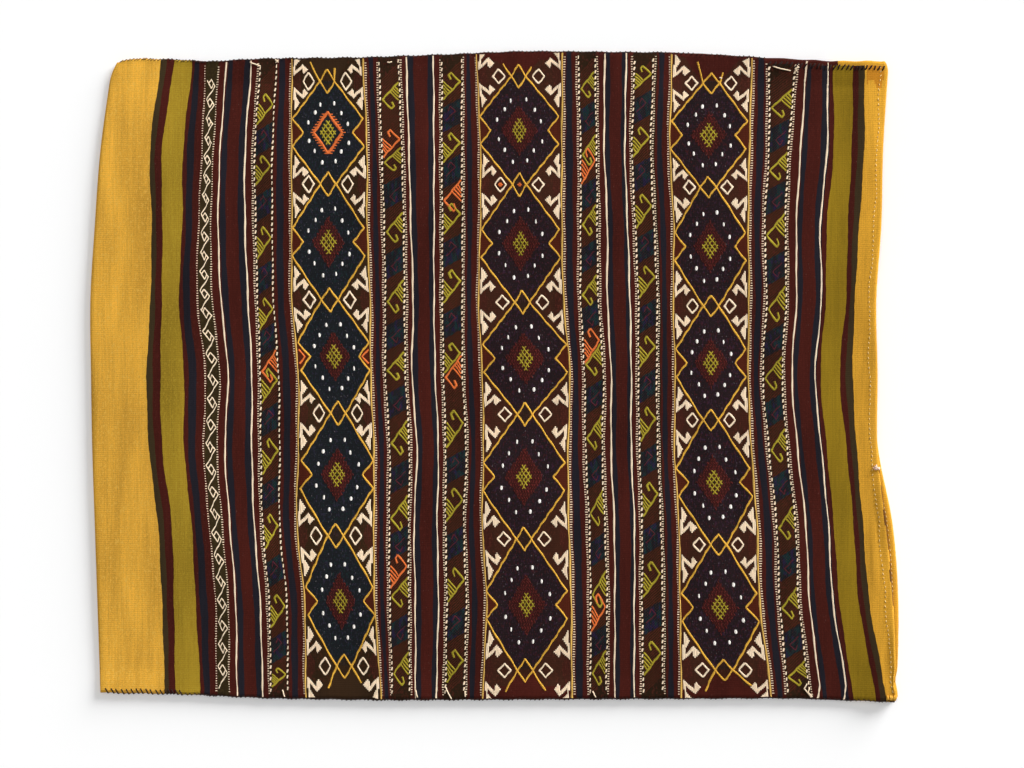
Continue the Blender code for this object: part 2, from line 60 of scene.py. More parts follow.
# %% The lines of the front
LINES = {
    "fold": (0, (28, 12, 3, -4, -3, -1, 3, 7, 11)),
    "dark": (88, (19, 5, 8, 6, 0, 4, 18, 24, 27)),
    "green": (110, (18, 2, 3, 2, 0, 3, 18, 21, 22)),
    "green end": (148, (10, -2, -3, -8, 0, 0, 12, 18, 24)),
    "meander": (182, (-2, -6, -11, -13, 0, -3, 6, 16, 16)),
    "ivory 1": (218, (-5, -13, -16, -11, 0, -5, 3, 12, 13)),
    "ivory 2": (256, (-3, -11, -11, -6, 0, 0, 4, 13, 16)),
    "hooks 1": (269, (-2, -9, -7, -4, 0, 1, 4, 14, 16)),
    "hooks 1 end": (299, (-5, -10, -10, -8, 0, 2, 2, 13, 14)),
    "gold 1": (330, (-11, -11, -10, -10, 0, 0, -2, 10, 11)),
    "gold 1 end": (446, (-12, -6, -6, -1, 0, 5, 5, 6, 14)),
    "hooks 2": (469, (-10, -6, -2, 0, 0, 7, 6, 7, 10)),
    "hooks 2 end": (502, (-11, -6, -3, -2, 0, 6, 5, 5, 6)),
    "ivory 3": (512, (-9, -5, -2, 2, 0, 8, 3, 5, 5)),
    "ivory 4": (549, (-3, -2, -2, -2, 0, 5, 3, 5, 2)),
    "hooks 3": (562, (-3, -3, -2, -2, 0, 3, 3, 5, 3)),
    "hooks 3 end": (593, (-1, -1, 0, 0, 0, 6, 2, 6, 3)),
    "gold 2": (624, (-8, -3, -3, -6, 0, 2, 0, 7, 2)),
    "gold 2 end": (764, (-12, -13, -13, -10, 0, -3, -2, 2, 3)),
    "hooks 4": (787, (-9, -6, -6, -6, 0, 2, 8, 10, 10)),
    "hooks 4 end": (818, (-13, -11, -10, -8, 0, -2, 2, 6, 5)),
    "ivory 5": (830, (-10, -11, -6, -6, 0, 0, 5, 6, 6)),
    "ivory 6": (862, (-8, -10, -6, -2, 0, 0, 5, 5, 5)),
    "hooks 5": (873, (-6, -10, -5, 0, 0, 2, 6, 6, 8)),
    "hooks 5 end": (903, (-5, -9, -4, 1, 0, 2, 7, 10, 10)),
    "gold 3": (932, (-5, -8, -2, -3, 0, -1, 6, 8, 10)),
    "gold 3 end": (1049, (6, 2, 0, 1, 0, 5, 14, 18, 34)),
    "hooks 6": (1072, (11, 10, 3, 6, 0, 10, 22, 27, 38)),
    "hooks 6 end": (1104, (21, 10, 5, 6, 0, 8, 21, 26, 41)),
    "ivory 7": (1119, (23, 14, 7, 7, 0, 9, 22, 28, 43)),
    "ivory 8": (1156, (21, 19, 8, 10, 0, 10, 21, 28, 48)),
    "last green": (1165, (21, 21, 10, 8, 0, 10, 21, 30, 48)),
    "last green end": (1196, (22, 19, 13, 10, 0, 11, 22, 30, 52)),
    "last yellow": (1217, (19, 18, 10, 3, 0, 6, 16, 26, 48)),
    "mouth": (1256, (17, 9, 6, -2, 0, 0, 14, 25, 30)),
}
BACK_MOUTH = (11, 3, 0, -8, -6, 3, 26, 35, 34)
READING_STEP = 0.120
FIRST_READING = 0.480
FOLD_X = -0.6445
LENGTH = LINES["mouth"][0] * MM
AT = {name: distance * MM for name, (distance, _) in LINES.items()}
line_places = np.array(list(AT.values()))
print(len(LINES), "lines, from the fold to the mouth", LENGTH, "m away")

# %% [markdown]
# ## The wander of a line and the corners
#
# A smooth curve runs through the nine readings of a line. The corners of the cloth draw in a
# little: rounded at the upper side, and pinched where the lower one is knotted.

# %% Wander and corners
def along_reading(readings, y):
    """A smooth curve through nine readings, at any height across the cloth."""
    values = np.array(readings, float) * MM
    place = (FIRST_READING - np.asarray(y, float)) / READING_STEP
    held = np.clip(place, -0.35, 8.35)
    low = np.clip(np.floor(held).astype(int), 0, 7)
    share = held - low
    padded = np.concatenate([[2 * values[0] - values[1]], values, [2 * values[8] - values[7]]])
    before, start, end, after = (padded[low + step] for step in range(4))
    return 0.5 * (2 * start + (end - before) * share
                  + (2 * before - 5 * start + 4 * end - after) * share ** 2
                  + (3 * start - before - 3 * end + after) * share ** 3)


# Each corner: how far it draws in, where that starts across the cloth, and its run there
FOLD_CORNER = (0.008, 0.465, 0.035)
MOUTH_CORNER = (0.007, 0.478, 0.025)
KNOT_PULL = 0.0035
KNOT_PINCH = (-0.490, 0.014)
KNOT_CORNER = (-0.512, 0.010)
FOLD_CORNER_RUN = 0.09
MOUTH_CORNER_START = 1.21
MOUTH_CORNER_RUN = 0.045


def ramp(value, start, run):
    """0 up to start, and then up to 1 over a run, which may be negative."""
    return np.clip((value - start) / run, 0.0, 1.0)


def corner_pull(distance, y):
    """The corners are rounded, where the folded or knotted cloth draws in."""
    fold_pull, fold_start, fold_run = FOLD_CORNER
    mouth_pull, mouth_start, mouth_run = MOUTH_CORNER
    knot, knot_run = KNOT_PINCH
    corner, corner_run = KNOT_CORNER
    near_fold = ramp(distance, FOLD_CORNER_RUN, -FOLD_CORNER_RUN)
    near_mouth = ramp(distance, MOUTH_CORNER_START, MOUTH_CORNER_RUN)
    at_fold = fold_pull * ramp(y, fold_start, fold_run) ** 2 * near_fold
    rounded = mouth_pull * ramp(y, mouth_start, mouth_run) ** 3
    pinched = np.exp(-((y - knot) / knot_run) ** 2) + ramp(y, corner, -corner_run) ** 2
    return at_fold - near_mouth * (rounded + KNOT_PULL * pinched)


print("the upper corner at the fold draws in", round(float(corner_pull(0.0, 0.50)) / MM, 1), "mm")

# %% [markdown]
# ## A place on the cloth
#
# Between two lines the wander changes evenly, and a fine waver lies over it. So a distance
# from the fold and a height give one place, on the front or on the back.

# %% Places on the front and the back
# Size of each wave, and its radians a metre along the cloth and across it
WAVES = ((0.0002, 913.0, 231.0), (0.0002, -1571.0, 387.0), (0.0006, 411.0, 61.0))
STEADY_END = 0.02


def waver(distance, y):
    """The small unevenness that every hand-beaten edge has."""
    return sum(size * np.sin(across * y + along * distance) for size, along, across in WAVES)


def front_x(distance, y):
    """X of the front at a distance from the fold and a height across the cloth."""
    distance, y = np.broadcast_arrays(np.asarray(distance, float), np.asarray(y, float))
    wander = np.array([along_reading(readings, y) for _, readings in LINES.values()])
    low = np.clip(np.searchsorted(line_places, distance, side="right") - 1, 0, len(AT) - 2)
    share = (distance - line_places[low]) / (line_places[low + 1] - line_places[low])
    lower_line = np.take_along_axis(wander, low[None], 0)[0]
    upper_line = np.take_along_axis(wander, low[None] + 1, 0)[0]
    inside = np.clip(np.minimum(distance, LENGTH - distance) / STEADY_END, 0.0, 1.0)
    return (FOLD_X + distance + lower_line + (upper_line - lower_line) * share
            + inside * waver(distance, y) + corner_pull(distance, y))


def back_x(distance, y):
    """X of the plain back, which wanders with the fold and with its own lip."""
    at_fold = along_reading(LINES["fold"][1], y)
    at_mouth = along_reading(BACK_MOUTH, y)
    return (FOLD_X + distance + at_fold + (at_mouth - at_fold) * distance / LENGTH
            + corner_pull(distance, y))


print("middle of the mouth at x =", round(float(front_x(LENGTH, 0.0)), 4))

# %% [markdown]
# ## How the empty bag lies
#
# The two sewn sides lie flat. In the middle the front stands about a centimetre over the
# back, and at the mouth each lip is a turned hem, twice as thick as the cloth. The sides
# draw in by a few millimetres here and there. Cloth could be simulated, but formulas are
# enough for a bag that lies flat, and they keep every stitch exactly on the cloth.

# %% Thickness, gaps and sides
HALF_WIDTH = 0.5185
CLOTH_THICK = 0.0030
SEAM_GAP = 0.001
FOLD_GAP = 0.004
BODY_GAP = 0.012
MOUTH_GAP = 0.006
HEM_GAP = 0.0008
HEM_TURN = 0.018
HEM_CLEARANCE = 0.0004
HEM_RADIUS = CLOTH_THICK + HEM_GAP / 2.0
SEAM_MARGIN = 0.012
SEAM_LIFT = 0.0016
SIDE_RUN = 0.25
FOLD_RUN = 0.12
FOLD_REACH = 0.010
SIDE_RIPPLE = 0.0006
RIPPLE_RATE = 140.0
MOUTH_RUN = 0.10

UPPER_DRAW = ((0, 18), (30, 12), (98, 13), (182, 17), (267, 12), (446, 10), (624, 3), (700, 0),
              (932, 2), (1049, 9), (1107, 13), (1165, 16), (1256, 17))
LOWER_DRAW = ((0, 10), (110, 8), (267, 1), (446, -2), (900, 0), (1060, 1), (1107, 0), (1140, -2),
              (1170, -3), (1216, -4), (1256, -3))


def side_edges(distance):
    """The cloth's lower and upper side at a distance from the fold."""
    lower, upper = (np.interp(np.asarray(distance) / MM, *zip(*draw)) * MM
                    for draw in (LOWER_DRAW, UPPER_DRAW))
    ripple = SIDE_RIPPLE * np.sin(np.asarray(distance) * RIPPLE_RATE)
    return -HALF_WIDTH + lower + ripple, HALF_WIDTH - upper + ripple


print("sides at the fold:", [round(float(edge), 4) for edge in side_edges(0.0)])

# %% [markdown]
# ## Rolls and creases
#
# Three slow waves make the broad rolls. Each crease is a long narrow hollow or ridge with a
# place, a length, a width and a direction, as one would press it into cloth with a finger.

# %% Rolls and creases
# Height of each roll, its radians a metre along the cloth and across it, and where it starts
ROLLS = ((0.0007, 9.0, 4.0, 0.6), (0.0006, 15.0, -11.0, 0.0), (0.0004, 7.0, 27.0, 1.9))
# Distance from the fold, height across, length, width, direction in degrees, and depth
CREASES = ((1.235, 0.468, 0.060, 0.006, 5, -0.0012), (1.180, 0.462, 0.070, 0.007, -8, -0.0010),
           (1.240, -0.235, 0.080, 0.004, 90, -0.0012), (1.230, -0.290, 0.060, 0.005, 84, 0.0010),
           (1.245, -0.420, 0.070, 0.006, 70, -0.0012), (0.110, 0.120, 0.200, 0.018, 88, -0.0007),
           (0.380, 0.180, 0.150, 0.030, 20, 0.0012), (0.700, -0.200, 0.180, 0.035, -15, 0.0014),
           (1.000, 0.230, 0.160, 0.030, 30, -0.0012), (0.560, 0.360, 0.120, 0.025, -25, 0.0010))


def rolls(distance, y):
    """Broad soft rolls of the cloth and its few short creases."""
    height = sum(size * np.sin(along * distance + across * y + start)
                 for size, along, across, start in ROLLS)
    for middle, across, length, width, turn, depth in CREASES:
        cos, sin = math.cos(math.radians(turn)), math.sin(math.radians(turn))
        run = ((distance - middle) * cos + (y - across) * sin) / length
        side = (-(distance - middle) * sin + (y - across) * cos) / width
        height = height + depth * np.exp(-2.0 * run ** 2 - side ** 2)
    return height


print("roll in the middle:", round(float(rolls(0.6, 0.0)) / MM, 2), "mm")

# %% [markdown]
# ## The height of the front
#
# The gap under the front grows from the sewn margins and the fold to the hollow middle, and
# changes again to that of the two lips. Each change is eased, so that no hard line shows.

# %% The height of the front
SEAM_RUN = 0.03
ROLL_SHARE = 0.125
LIP_RUN = 0.02


def smooth(value):
    """Ease from 0 to 1 as value goes from 0 to 1."""
    value = np.clip(value, 0.0, 1.0)
    return value * value * (3.0 - 2.0 * value)


def inside_margin(distance, y):
    """How far a place lies inside the nearer sewn margin."""
    lower, upper = side_edges(distance)
    return np.minimum(upper - y, y - lower) - SEAM_MARGIN


def seam_lift(distance, y):
    """The sewn sides lie on their yarn, a little above the surface below."""
    return SEAM_LIFT * (1.0 - smooth(inside_margin(distance, y) / SEAM_RUN))


def front_height(distance, y):
    """Height of the front's upper face."""
    share = np.clip(inside_margin(distance, y) / SIDE_RUN, 0.0, 1.0)
    rise = 1.0 - (1.0 - share) ** 2
    middle_gap = FOLD_GAP + (BODY_GAP - FOLD_GAP) * smooth(distance / FOLD_RUN)
    body = SEAM_GAP + (middle_gap - SEAM_GAP) * rise
    mouth = 2.0 * (CLOTH_THICK + HEM_GAP) + HEM_CLEARANCE + (MOUTH_GAP - HEM_CLEARANCE) * rise
    near_mouth = smooth((distance - LENGTH + MOUTH_RUN) / (MOUTH_RUN - 2.0 * HEM_TURN))
    gap = body + (mouth - body) * near_mouth
    loose = smooth(share / ROLL_SHARE) * smooth(distance / FOLD_RUN)
    loose = loose * smooth((LENGTH - distance) / LIP_RUN)
    return seam_lift(distance, y) + 2.0 * CLOTH_THICK + gap + loose * rolls(distance, y)


def on_front(distance, y, rise=0.0):
    """Points of the front's upper face, or a little above or below it."""
    distance, y = np.broadcast_arrays(np.asarray(distance, float), np.asarray(y, float))
    return np.stack([front_x(distance, y), y, front_height(distance, y) + rise], axis=-1)


print("height in the middle", round(float(front_height(0.6, 0.0)) / MM, 1), "mm")

# %% [markdown]
# ## Dyed wool
#
# The weave is weft-faced: thick wool covers the warps, which show only as fine ribs from
# side to side. The dye runs unevenly along each weft, so every band has thin streaks along
# it and slow changes of tone. One recipe makes all the wools. Ribs and fibres also go into
# the bump, because they are too fine for the mesh.

# %% Helpers for colours and nodes
RIB_PITCH = 0.0031
WAVE_RADIANS = 20.0


def dye(red, green, blue):
    """A colour given as 0 to 255, in the linear values that Blender works with."""
    shares = (channel / 255.0 for channel in (red, green, blue))
    return tuple(s / 12.92 if s <= 0.04045 else ((s + 0.055) / 1.055) ** 2.4 for s in shares)


def add(tree, kind, settings=None, inputs=None):
    """One node, its settings and its unlinked inputs."""
    node = tree.nodes.new(kind)
    for name, value in (settings or {}).items():
        setattr(node, name, value)
    for name, value in (inputs or {}).items():
        node.inputs[name].default_value = value
    return node


def noise(tree, where, stretch, detail=2.0):
    """Noise stretched along the axes of the cloth; stretch is the number of blots a metre."""
    mapping = add(tree, "ShaderNodeMapping", inputs={"Scale": stretch})
    tree.links.new(where, mapping.inputs["Vector"])
    node = add(tree, "ShaderNodeTexNoise", inputs={"Scale": 1.0, "Detail": detail})
    tree.links.new(mapping.outputs["Vector"], node.inputs["Vector"])
    return node.outputs["Fac"]


def weigh(tree, parts):
    """The sum of several outputs, each less a half and times its weight, around a half."""
    total = None
    for output, weight in parts:
        node = add(tree, "ShaderNodeMath", {"operation": "MULTIPLY_ADD"},
                   {1: weight, 2: 0.5 * (1.0 - weight) if total is None else -0.5 * weight})
        tree.links.new(output, node.inputs[0])
        if total is not None:
            joined = add(tree, "ShaderNodeMath", {"operation": "ADD"})
            tree.links.new(total, joined.inputs[0])
            tree.links.new(node.outputs[0], joined.inputs[1])
            node = joined
        total = node.outputs[0]
    return total


print("one rib every", round(RIB_PITCH / MM, 1), "mm")

# %% [markdown]
# ## One recipe for all the wools
#
# Noise that is stretched along the weft gives the streaks, slow noise gives the changes of
# tone, and fine noise gives the fibres. A wave across the weft gives the ribs, and a little
# painted shade between them. Their sum picks a shade between a darker and a lighter dye.
# Some wools also have flecks, where threads of a second colour show.

# %% The recipe
STREAKS = (520.0, 14.0, 60.0)
TONES = (24.0, 5.0, 10.0)
FIBRES = (1100.0, 800.0, 900.0)
FLECK_SPOTS = (420.0, 190.0, 300.0)
FLECK_EDGE = 0.08
DARK_STOP, LIGHT_STOP = 0.15, 0.85
SPREAD = 0.45


def wool(name, colour, spread=SPREAD, flecks=()):
    """Weft-faced wool: streaks along the weft (Y), ribs across it, and fibres."""
    material = bpy.data.materials.new(name)
    material.use_nodes = True
    tree = material.node_tree
    shader = tree.nodes["Principled BSDF"]
    where = add(tree, "ShaderNodeTexCoord").outputs["Object"]
    streak = noise(tree, where, STREAKS)
    tone = noise(tree, where, TONES)
    fibre = noise(tree, where, FIBRES, detail=3.0)
    rib = add(tree, "ShaderNodeTexWave", {"wave_type": "BANDS", "bands_direction": "Y"},
              {"Scale": 2.0 * math.pi / (WAVE_RADIANS * RIB_PITCH), "Distortion": 2.6,
               "Detail": 2.0, "Detail Scale": 0.35})
    tree.links.new(where, rib.inputs["Vector"])
    # The rib wave in the colour is painted shade between the ribs, besides their bump
    shade = weigh(tree, [(streak, 0.4), (tone, 0.7), (fibre, 0.8), (rib.outputs["Fac"], 0.1)])
    shades = add(tree, "ShaderNodeValToRGB")
    tree.links.new(shade, shades.inputs["Fac"])
    dark, light = shades.color_ramp.elements
    dark.position = DARK_STOP
    light.position = LIGHT_STOP
    dark.color = (*(c * (1.0 - spread) for c in colour), 1.0)
    brightest = min(1.0 + spread, 1.0 / max(colour))
    light.color = (*(c * brightest for c in colour), 1.0)
    tinted = shades.outputs["Color"]
    for threads in flecks:
        tinted = flecked(tree, where, tinted, *threads)
    tree.links.new(tinted, shader.inputs["Base Color"])
    shader.inputs["Roughness"].default_value = 0.92
    shader.inputs["Specular IOR Level"].default_value = 0.08
    shader.inputs["Sheen Weight"].default_value = 0.015
    shader.inputs["Sheen Roughness"].default_value = 0.5
    relief = weigh(tree, [(rib.outputs["Fac"], 0.5), (streak, 0.12), (fibre, 0.6)])
    bump = add(tree, "ShaderNodeBump", inputs={"Strength": 0.32, "Distance": 0.0005})
    tree.links.new(relief, bump.inputs["Height"])
    tree.links.new(bump.outputs["Normal"], shader.inputs["Normal"])
    return material


def flecked(tree, where, base, colour, amount, threshold=0.58, size=1.0):
    """Stray threads of a second colour that show here and there."""
    spots = noise(tree, where, tuple(stretch / size for stretch in FLECK_SPOTS), detail=1.0)
    choose = add(tree, "ShaderNodeMapRange", inputs={
        "From Min": threshold, "From Max": threshold + FLECK_EDGE, "To Max": amount})
    tree.links.new(spots, choose.inputs["Value"])
    mix = add(tree, "ShaderNodeMix", {"data_type": "RGBA"})
    tree.links.new(choose.outputs["Result"], mix.inputs["Factor"])
    tree.links.new(base, mix.inputs["A"])
    mix.inputs["B"].default_value = (*colour, 1.0)
    return mix.outputs["Result"]


print("usual spread of a dye:", SPREAD, "of its level")

# %% [markdown]
# ## The dyes
#
# Every colour is chosen under the plain light of this scene. Pale wools vary less
# than dark ones. A fleck has a colour and a strength, and may have a threshold and a size.

# %% Dye the wools
DYES = {
    "yellow": dye(217, 162, 58),
    "mouth yellow": dye(208, 152, 47),
    # slit: painted shade for the narrow gap between the two lips, not a colour of the wool
    "slit": dye(98, 62, 24),
    # bunched shade: yellow painted darker as the shade of the bunched cloth by the wrapped edge
    "soiled": dye(190, 126, 34),
    "pale": dye(238, 208, 146),
    "green": dye(152, 124, 34),
    "late green": dye(141, 113, 25),
    "maroon": dye(64, 22, 15),
    "navy": dye(28, 26, 33),
    "black": dye(56, 44, 26),
    "brown": dye(40, 25, 12),
    "field blue": dye(22, 24, 27),
    "field plum": dye(30, 20, 22),
    "corner": dye(46, 30, 14),
    "red corner": dye(56, 29, 18),
    "patch": dye(66, 28, 20),
    "notch": dye(72, 28, 14),
    "strip": dye(50, 33, 18),
    "olive dark": dye(48, 37, 18),
    "hatch": dye(88, 35, 21),
    "ivory": dye(252, 228, 196),
    "dot": dye(244, 238, 230),
    "khaki": dye(206, 164, 84),
    "gold": dye(224, 170, 64),
    "orange": dye(222, 113, 56),
    "leaf": dye(160, 144, 44),
    "red": dye(58, 24, 20),
    "blood": dye(98, 34, 30),
    "plum": dye(88, 32, 40),
    "night": dye(18, 26, 31),
    "back red": dye(80, 30, 24),
    "yarn": dye(40, 28, 24),
    "pink": dye(238, 202, 178),
}
SPECKS = (dye(132, 122, 128), 0.55, 0.70, 0.7)
FLECKS = {
    "brown": ((dye(78, 32, 24), 0.6),),
    "field blue": ((dye(44, 40, 58), 0.6), (dye(20, 48, 46), 0.5, 0.60, 0.8), SPECKS),
    "field plum": ((dye(62, 36, 58), 0.45), (dye(74, 26, 28), 0.5, 0.60, 0.8), SPECKS),
    "corner": ((dye(78, 38, 24), 0.5),),
    "patch": ((dye(92, 40, 32), 0.6),),
    "red": ((dye(96, 32, 30), 0.6),),
    "night": ((dye(8, 46, 48), 0.8, 0.50, 3.0), (dye(32, 28, 62), 0.7, 0.56, 2.6)),
    "red corner": ((dye(82, 38, 26), 0.5),),
    "olive dark": ((dye(72, 58, 28), 0.4),),
    "maroon": ((dye(80, 30, 24), 0.4), (dye(120, 90, 84), 0.4, 0.72, 0.7)),
    "yellow": ((dye(226, 180, 84), 0.5), (dye(176, 122, 40), 0.4, 0.66, 0.8)),
    "green": ((dye(172, 146, 48), 0.4),),
}
SPREADS = {"ivory": 0.16, "dot": 0.12, "pink": 0.20}
WOOLS = {name: wool("wool_" + name.replace(" ", "_"), colour, SPREADS.get(name, SPREAD),
                    FLECKS.get(name, ())) for name, colour in DYES.items()}
print(len(WOOLS), "wools dyed")

# %% [markdown]
# ## The bands of the front
#
# Each stripe is given by the distance from the fold at which it starts, in millimetres. The
# three medallion columns are more than stripes: a stepped lattice parts the medallions from
# the ground between them. The grid of the cloth follows the lattice, so that each side gets
# its own wool.

# %% The stripes
BANDS = ((0, "yellow"), (88, "black"), (97.6, "maroon"), (110.4, "green"), (148, "maroon"),
         (155.2, "navy"), (168, "maroon"), (184, "olive dark"), (204.5, "maroon"),
         (220.8, "navy"), (228.8, "maroon"), (246.4, "navy"), (257, "maroon"),
         (266, "brown"), (301, "maroon"), (305.6, "navy"), (316.8, "maroon"),
         (331, "field 1"), (446, "maroon"), (454.4, "navy"), (460.8, "maroon"),
         (467.2, "brown"), (504, "maroon"), (513.6, "navy"), (521.6, "maroon"),
         (540.8, "navy"), (550.4, "maroon"), (558.4, "brown"), (596.8, "maroon"),
         (601.6, "navy"), (609.6, "maroon"), (625, "field 2"), (764, "maroon"),
         (769.6, "navy"), (777.6, "maroon"), (785.6, "brown"), (820, "maroon"),
         (832, "navy"), (838.4, "maroon"), (856, "navy"), (864, "maroon"),
         (871, "brown"), (908.8, "maroon"), (912, "navy"), (920, "maroon"),
         (933, "field 3"), (1048, "maroon"), (1057.6, "navy"), (1065.6, "maroon"),
         (1070.4, "brown"), (1106, "maroon"), (1121.6, "navy"), (1128, "maroon"),
         (1147.2, "navy"), (1158.4, "maroon"), (1164.8, "late green"),
         (1195.2, "maroon"), (1204.8, "black"), (1216, "mouth yellow"))

print(len(BANDS), "stripes")

# %% [markdown]
# ## The medallion columns
#
# Where two medallions meet, the weaver worked a small joint diamond. Its heights are read for
# each column, and everything else in the column hangs on them, so the uneven spacing of the
# hand-woven rows is kept.

# %% The lattice of the medallion columns
# The small joint diamonds between the medallions of each column: height and sway to the right
JOINTS = {1: ((470, -1), (305, -2), (120, -2), (-61, 4), (-257, 0), (-466, 3)),
          2: ((478, -2), (304, -3), (116, 2), (-63, -2), (-262, -3), (-473, -4)),
          3: ((467, 0), (300, -3), (110, 0), (-72, -2), (-271, 0), (-472, -1))}
FIELD_WOOLS = {1: "field blue", 2: "field plum", 3: "field plum"}
CORNER_WOOLS = {1: "corner", 2: "red corner", 3: "red corner"}
END_WOOLS = {1: "strip", 2: "maroon", 3: "maroon"}
JOINT_HALF_WIDTH = 0.0120
JOINT_HALF_LENGTH = {1: 0.0192, 2: 0.0188, 3: 0.0168}
NOTCH_HALF_LENGTH = 0.0222
NOTCH_DEPTH = {1: 0.0168, 2: 0.0184, 3: 0.0168}
SHOULDER_GAP = 0.003
PATTERN_TOP = 0.502
PATTERN_BOTTOM = -0.500


def field_edges(column):
    return AT[f"gold {column}"], AT[f"gold {column} end"]


def medallions(column):
    """Upper joint, lower joint and centre height of each medallion, with the cut ones."""
    heights = [height * MM for height, _ in JOINTS[column]]
    first = heights[0] + (heights[0] - heights[1])
    last = heights[-1] - (heights[-2] - heights[-1])
    ends = [first, *heights, last]
    return [(upper, lower, (upper + lower) / 2.0) for upper, lower in zip(ends, ends[1:])]


def middle_of(column, y):
    """The middle line of a column, which sways a little from joint to joint."""
    heights, sways = (np.array(part[::-1], float) * MM for part in zip(*JOINTS[column]))
    return sum(field_edges(column)) / 2.0 + np.interp(y, heights, sways)


def lattice_half_width(column, y):
    """Half the width of the medallion at a height: narrow joints, wide shoulders, a notch."""
    start, end = field_edges(column)
    shoulder = (end - start) / 2.0 - SHOULDER_GAP
    places, widths = [], []
    for upper, lower, centre in medallions(column):
        places += [upper, centre + NOTCH_HALF_LENGTH, centre, centre - NOTCH_HALF_LENGTH]
        widths += [JOINT_HALF_WIDTH, shoulder, shoulder - NOTCH_DEPTH[column], shoulder]
    places.append(lower)
    widths.append(JOINT_HALF_WIDTH)
    return np.interp(y, places[::-1], widths[::-1])


def in_notch(column, y):
    """True at the heights where the lattice has its notch."""
    return np.any([np.abs(y - centre) < NOTCH_HALF_LENGTH for _, _, centre in medallions(column)],
                  axis=0)


def in_pattern(y):
    return (y < PATTERN_TOP) & (y > PATTERN_BOTTOM)


print("medallions in each column:", len(medallions(1)) - 2)

# %% [markdown]
# ## The cloth as one sheet
#
# The cloth is one long grid: from the raw edge inside the front hem, over the front, round
# the fold and along the back to the other hem. Each column of the grid is a run of points
# across the cloth, and each has the wool of the stripe after it. A Solidify modifier gives
# the cloth its three millimetres.

# %% Rows and columns
ROW_STEP = 0.0064
COLUMN_STEP = 0.0090
HEM_COLUMN_STEP = 0.0035
EDGE_ROWS = 5
INNER_REACH = 0.484
GROUND_COLUMNS = 3
FIELD_COLUMNS = 8
inner_rows = np.linspace(-INNER_REACH, INNER_REACH, int(2 * INNER_REACH / ROW_STEP) + 1)


def rows_at(distance):
    """The heights of the rows at a distance from the fold, lower side first."""
    lower, upper = side_edges(distance)
    shares = np.arange(1, EDGE_ROWS + 1) / EDGE_ROWS
    below = -INNER_REACH + (lower + INNER_REACH) * shares[::-1]
    above = INNER_REACH + (upper - INNER_REACH) * shares
    return np.concatenate([below, inner_rows, above])


ROW_COUNT = len(rows_at(0.0))


def striped(start, end, name):
    """Columns of one plain stripe: its wool is the same at every row."""
    step_wanted = HEM_COLUMN_STEP if end >= LENGTH else COLUMN_STEP
    steps = max(1, math.ceil((end - start) / step_wanted))
    return [(np.full(ROW_COUNT, start + (end - start) * step / steps), [name] * ROW_COUNT)
            for step in range(steps)]


def fielded(column, start, end):
    """Columns of a medallion field, which follow its lattice."""
    rows = rows_at((start + end) / 2.0)
    middle = middle_of(column, rows)
    half = lattice_half_width(column, rows)
    between_joints = (rows < JOINTS[column][0][0] * MM) & (rows > JOINTS[column][-1][0] * MM)
    stops = [np.full(ROW_COUNT, start), middle - half, middle + half, np.full(ROW_COUNT, end)]
    ground = np.where(in_notch(column, rows), "notch", CORNER_WOOLS[column])
    ground = np.where(in_pattern(rows), ground, END_WOOLS[column])
    inside = np.where(between_joints, FIELD_WOOLS[column], END_WOOLS[column])
    parts = ((GROUND_COLUMNS, ground), (FIELD_COLUMNS, inside), (GROUND_COLUMNS, ground))
    columns = []
    for low, high, (steps, names) in zip(stops, stops[1:], parts):
        columns += [(low + (high - low) * step / steps, list(names)) for step in range(steps)]
    return columns


def front_columns():
    columns = []
    ends = [start for start, _ in BANDS[1:]] + [LINES["mouth"][0]]
    for (start, name), end in zip(BANDS, ends):
        start, end = max(start * MM, FOLD_REACH), end * MM
        if name.startswith("field"):
            columns += fielded(int(name[-1]), start, end)
        else:
            columns += striped(start, end, name)
    return [(distance, names) for distance, names in columns
            if distance[0] < LENGTH - HEM_RADIUS - HEM_COLUMN_STEP / 2.0]


print(ROW_COUNT, "rows,", len(front_columns()), "columns on the front")

# %% [markdown]
# ## The two lips of the mouth
#
# Each lip is a hem: the cloth turns through half a circle and runs back inside. Below the
# tuft the rim of the front lip is painted dark: a thin line of painted shade for the narrow
# gap between the two lips.

# %% The lips
HEM_STEPS = 6
# The dark line below the tack is painted shade of the gap between the lips
SLIT_RIM = 95.0
SLIT_START = 45.0
SLIT_ENDS = (-0.372, -0.152)
# Degrees that the start of the dark line sways, and radians a metre
SLIT_SWAYS = ((20.0, 61.0), (12.0, 143.0))


def hem_turn(place, lip_height, angle):
    """Points of a lip's round bend, which turns about a centre inside the lip."""
    rows = rows_at(LENGTH)
    x = place(LENGTH, rows) - HEM_RADIUS + HEM_RADIUS * math.sin(angle)
    return np.stack([x, rows, lip_height(rows) + HEM_RADIUS * math.cos(angle)], axis=-1)


def front_lip(rows):
    return front_height(LENGTH, rows) - HEM_RADIUS


def lip_names(angle):
    """Below the tack the rim of the front lip is painted dark: painted shade of the gap under it.
    """
    rows = rows_at(LENGTH)
    inner = SLIT_START + sum(size * np.sin(rows * rate) for size, rate in SLIT_SWAYS)
    dark = (math.degrees(angle) > inner) & (math.degrees(angle) < SLIT_RIM)
    dark &= (rows > SLIT_ENDS[0]) & (rows < SLIT_ENDS[1])
    return list(np.where(dark, "slit", "mouth yellow"))


def back_lip(rows):
    return seam_lift(LENGTH, rows) + HEM_RADIUS


print("a lip is", round(2.0 * HEM_RADIUS / MM, 1), "mm thick")

# %% [markdown]
# ## The fold and the back
#
# The photo doesn't show the back. It is finished as the backs of such bags are: plain bands
# of the same wools, in the same rhythm as the front.

# %% The fold and the back
FOLD_STEPS = 8
BACK_STEP = 0.028
BACK_BANDS = ((0, "yellow"), (88, "back red"), (182, "navy"), (205, "back red"), (616, "navy"),
              (640, "back red"), (1040, "navy"), (1065, "back red"), (1168, "yellow"))


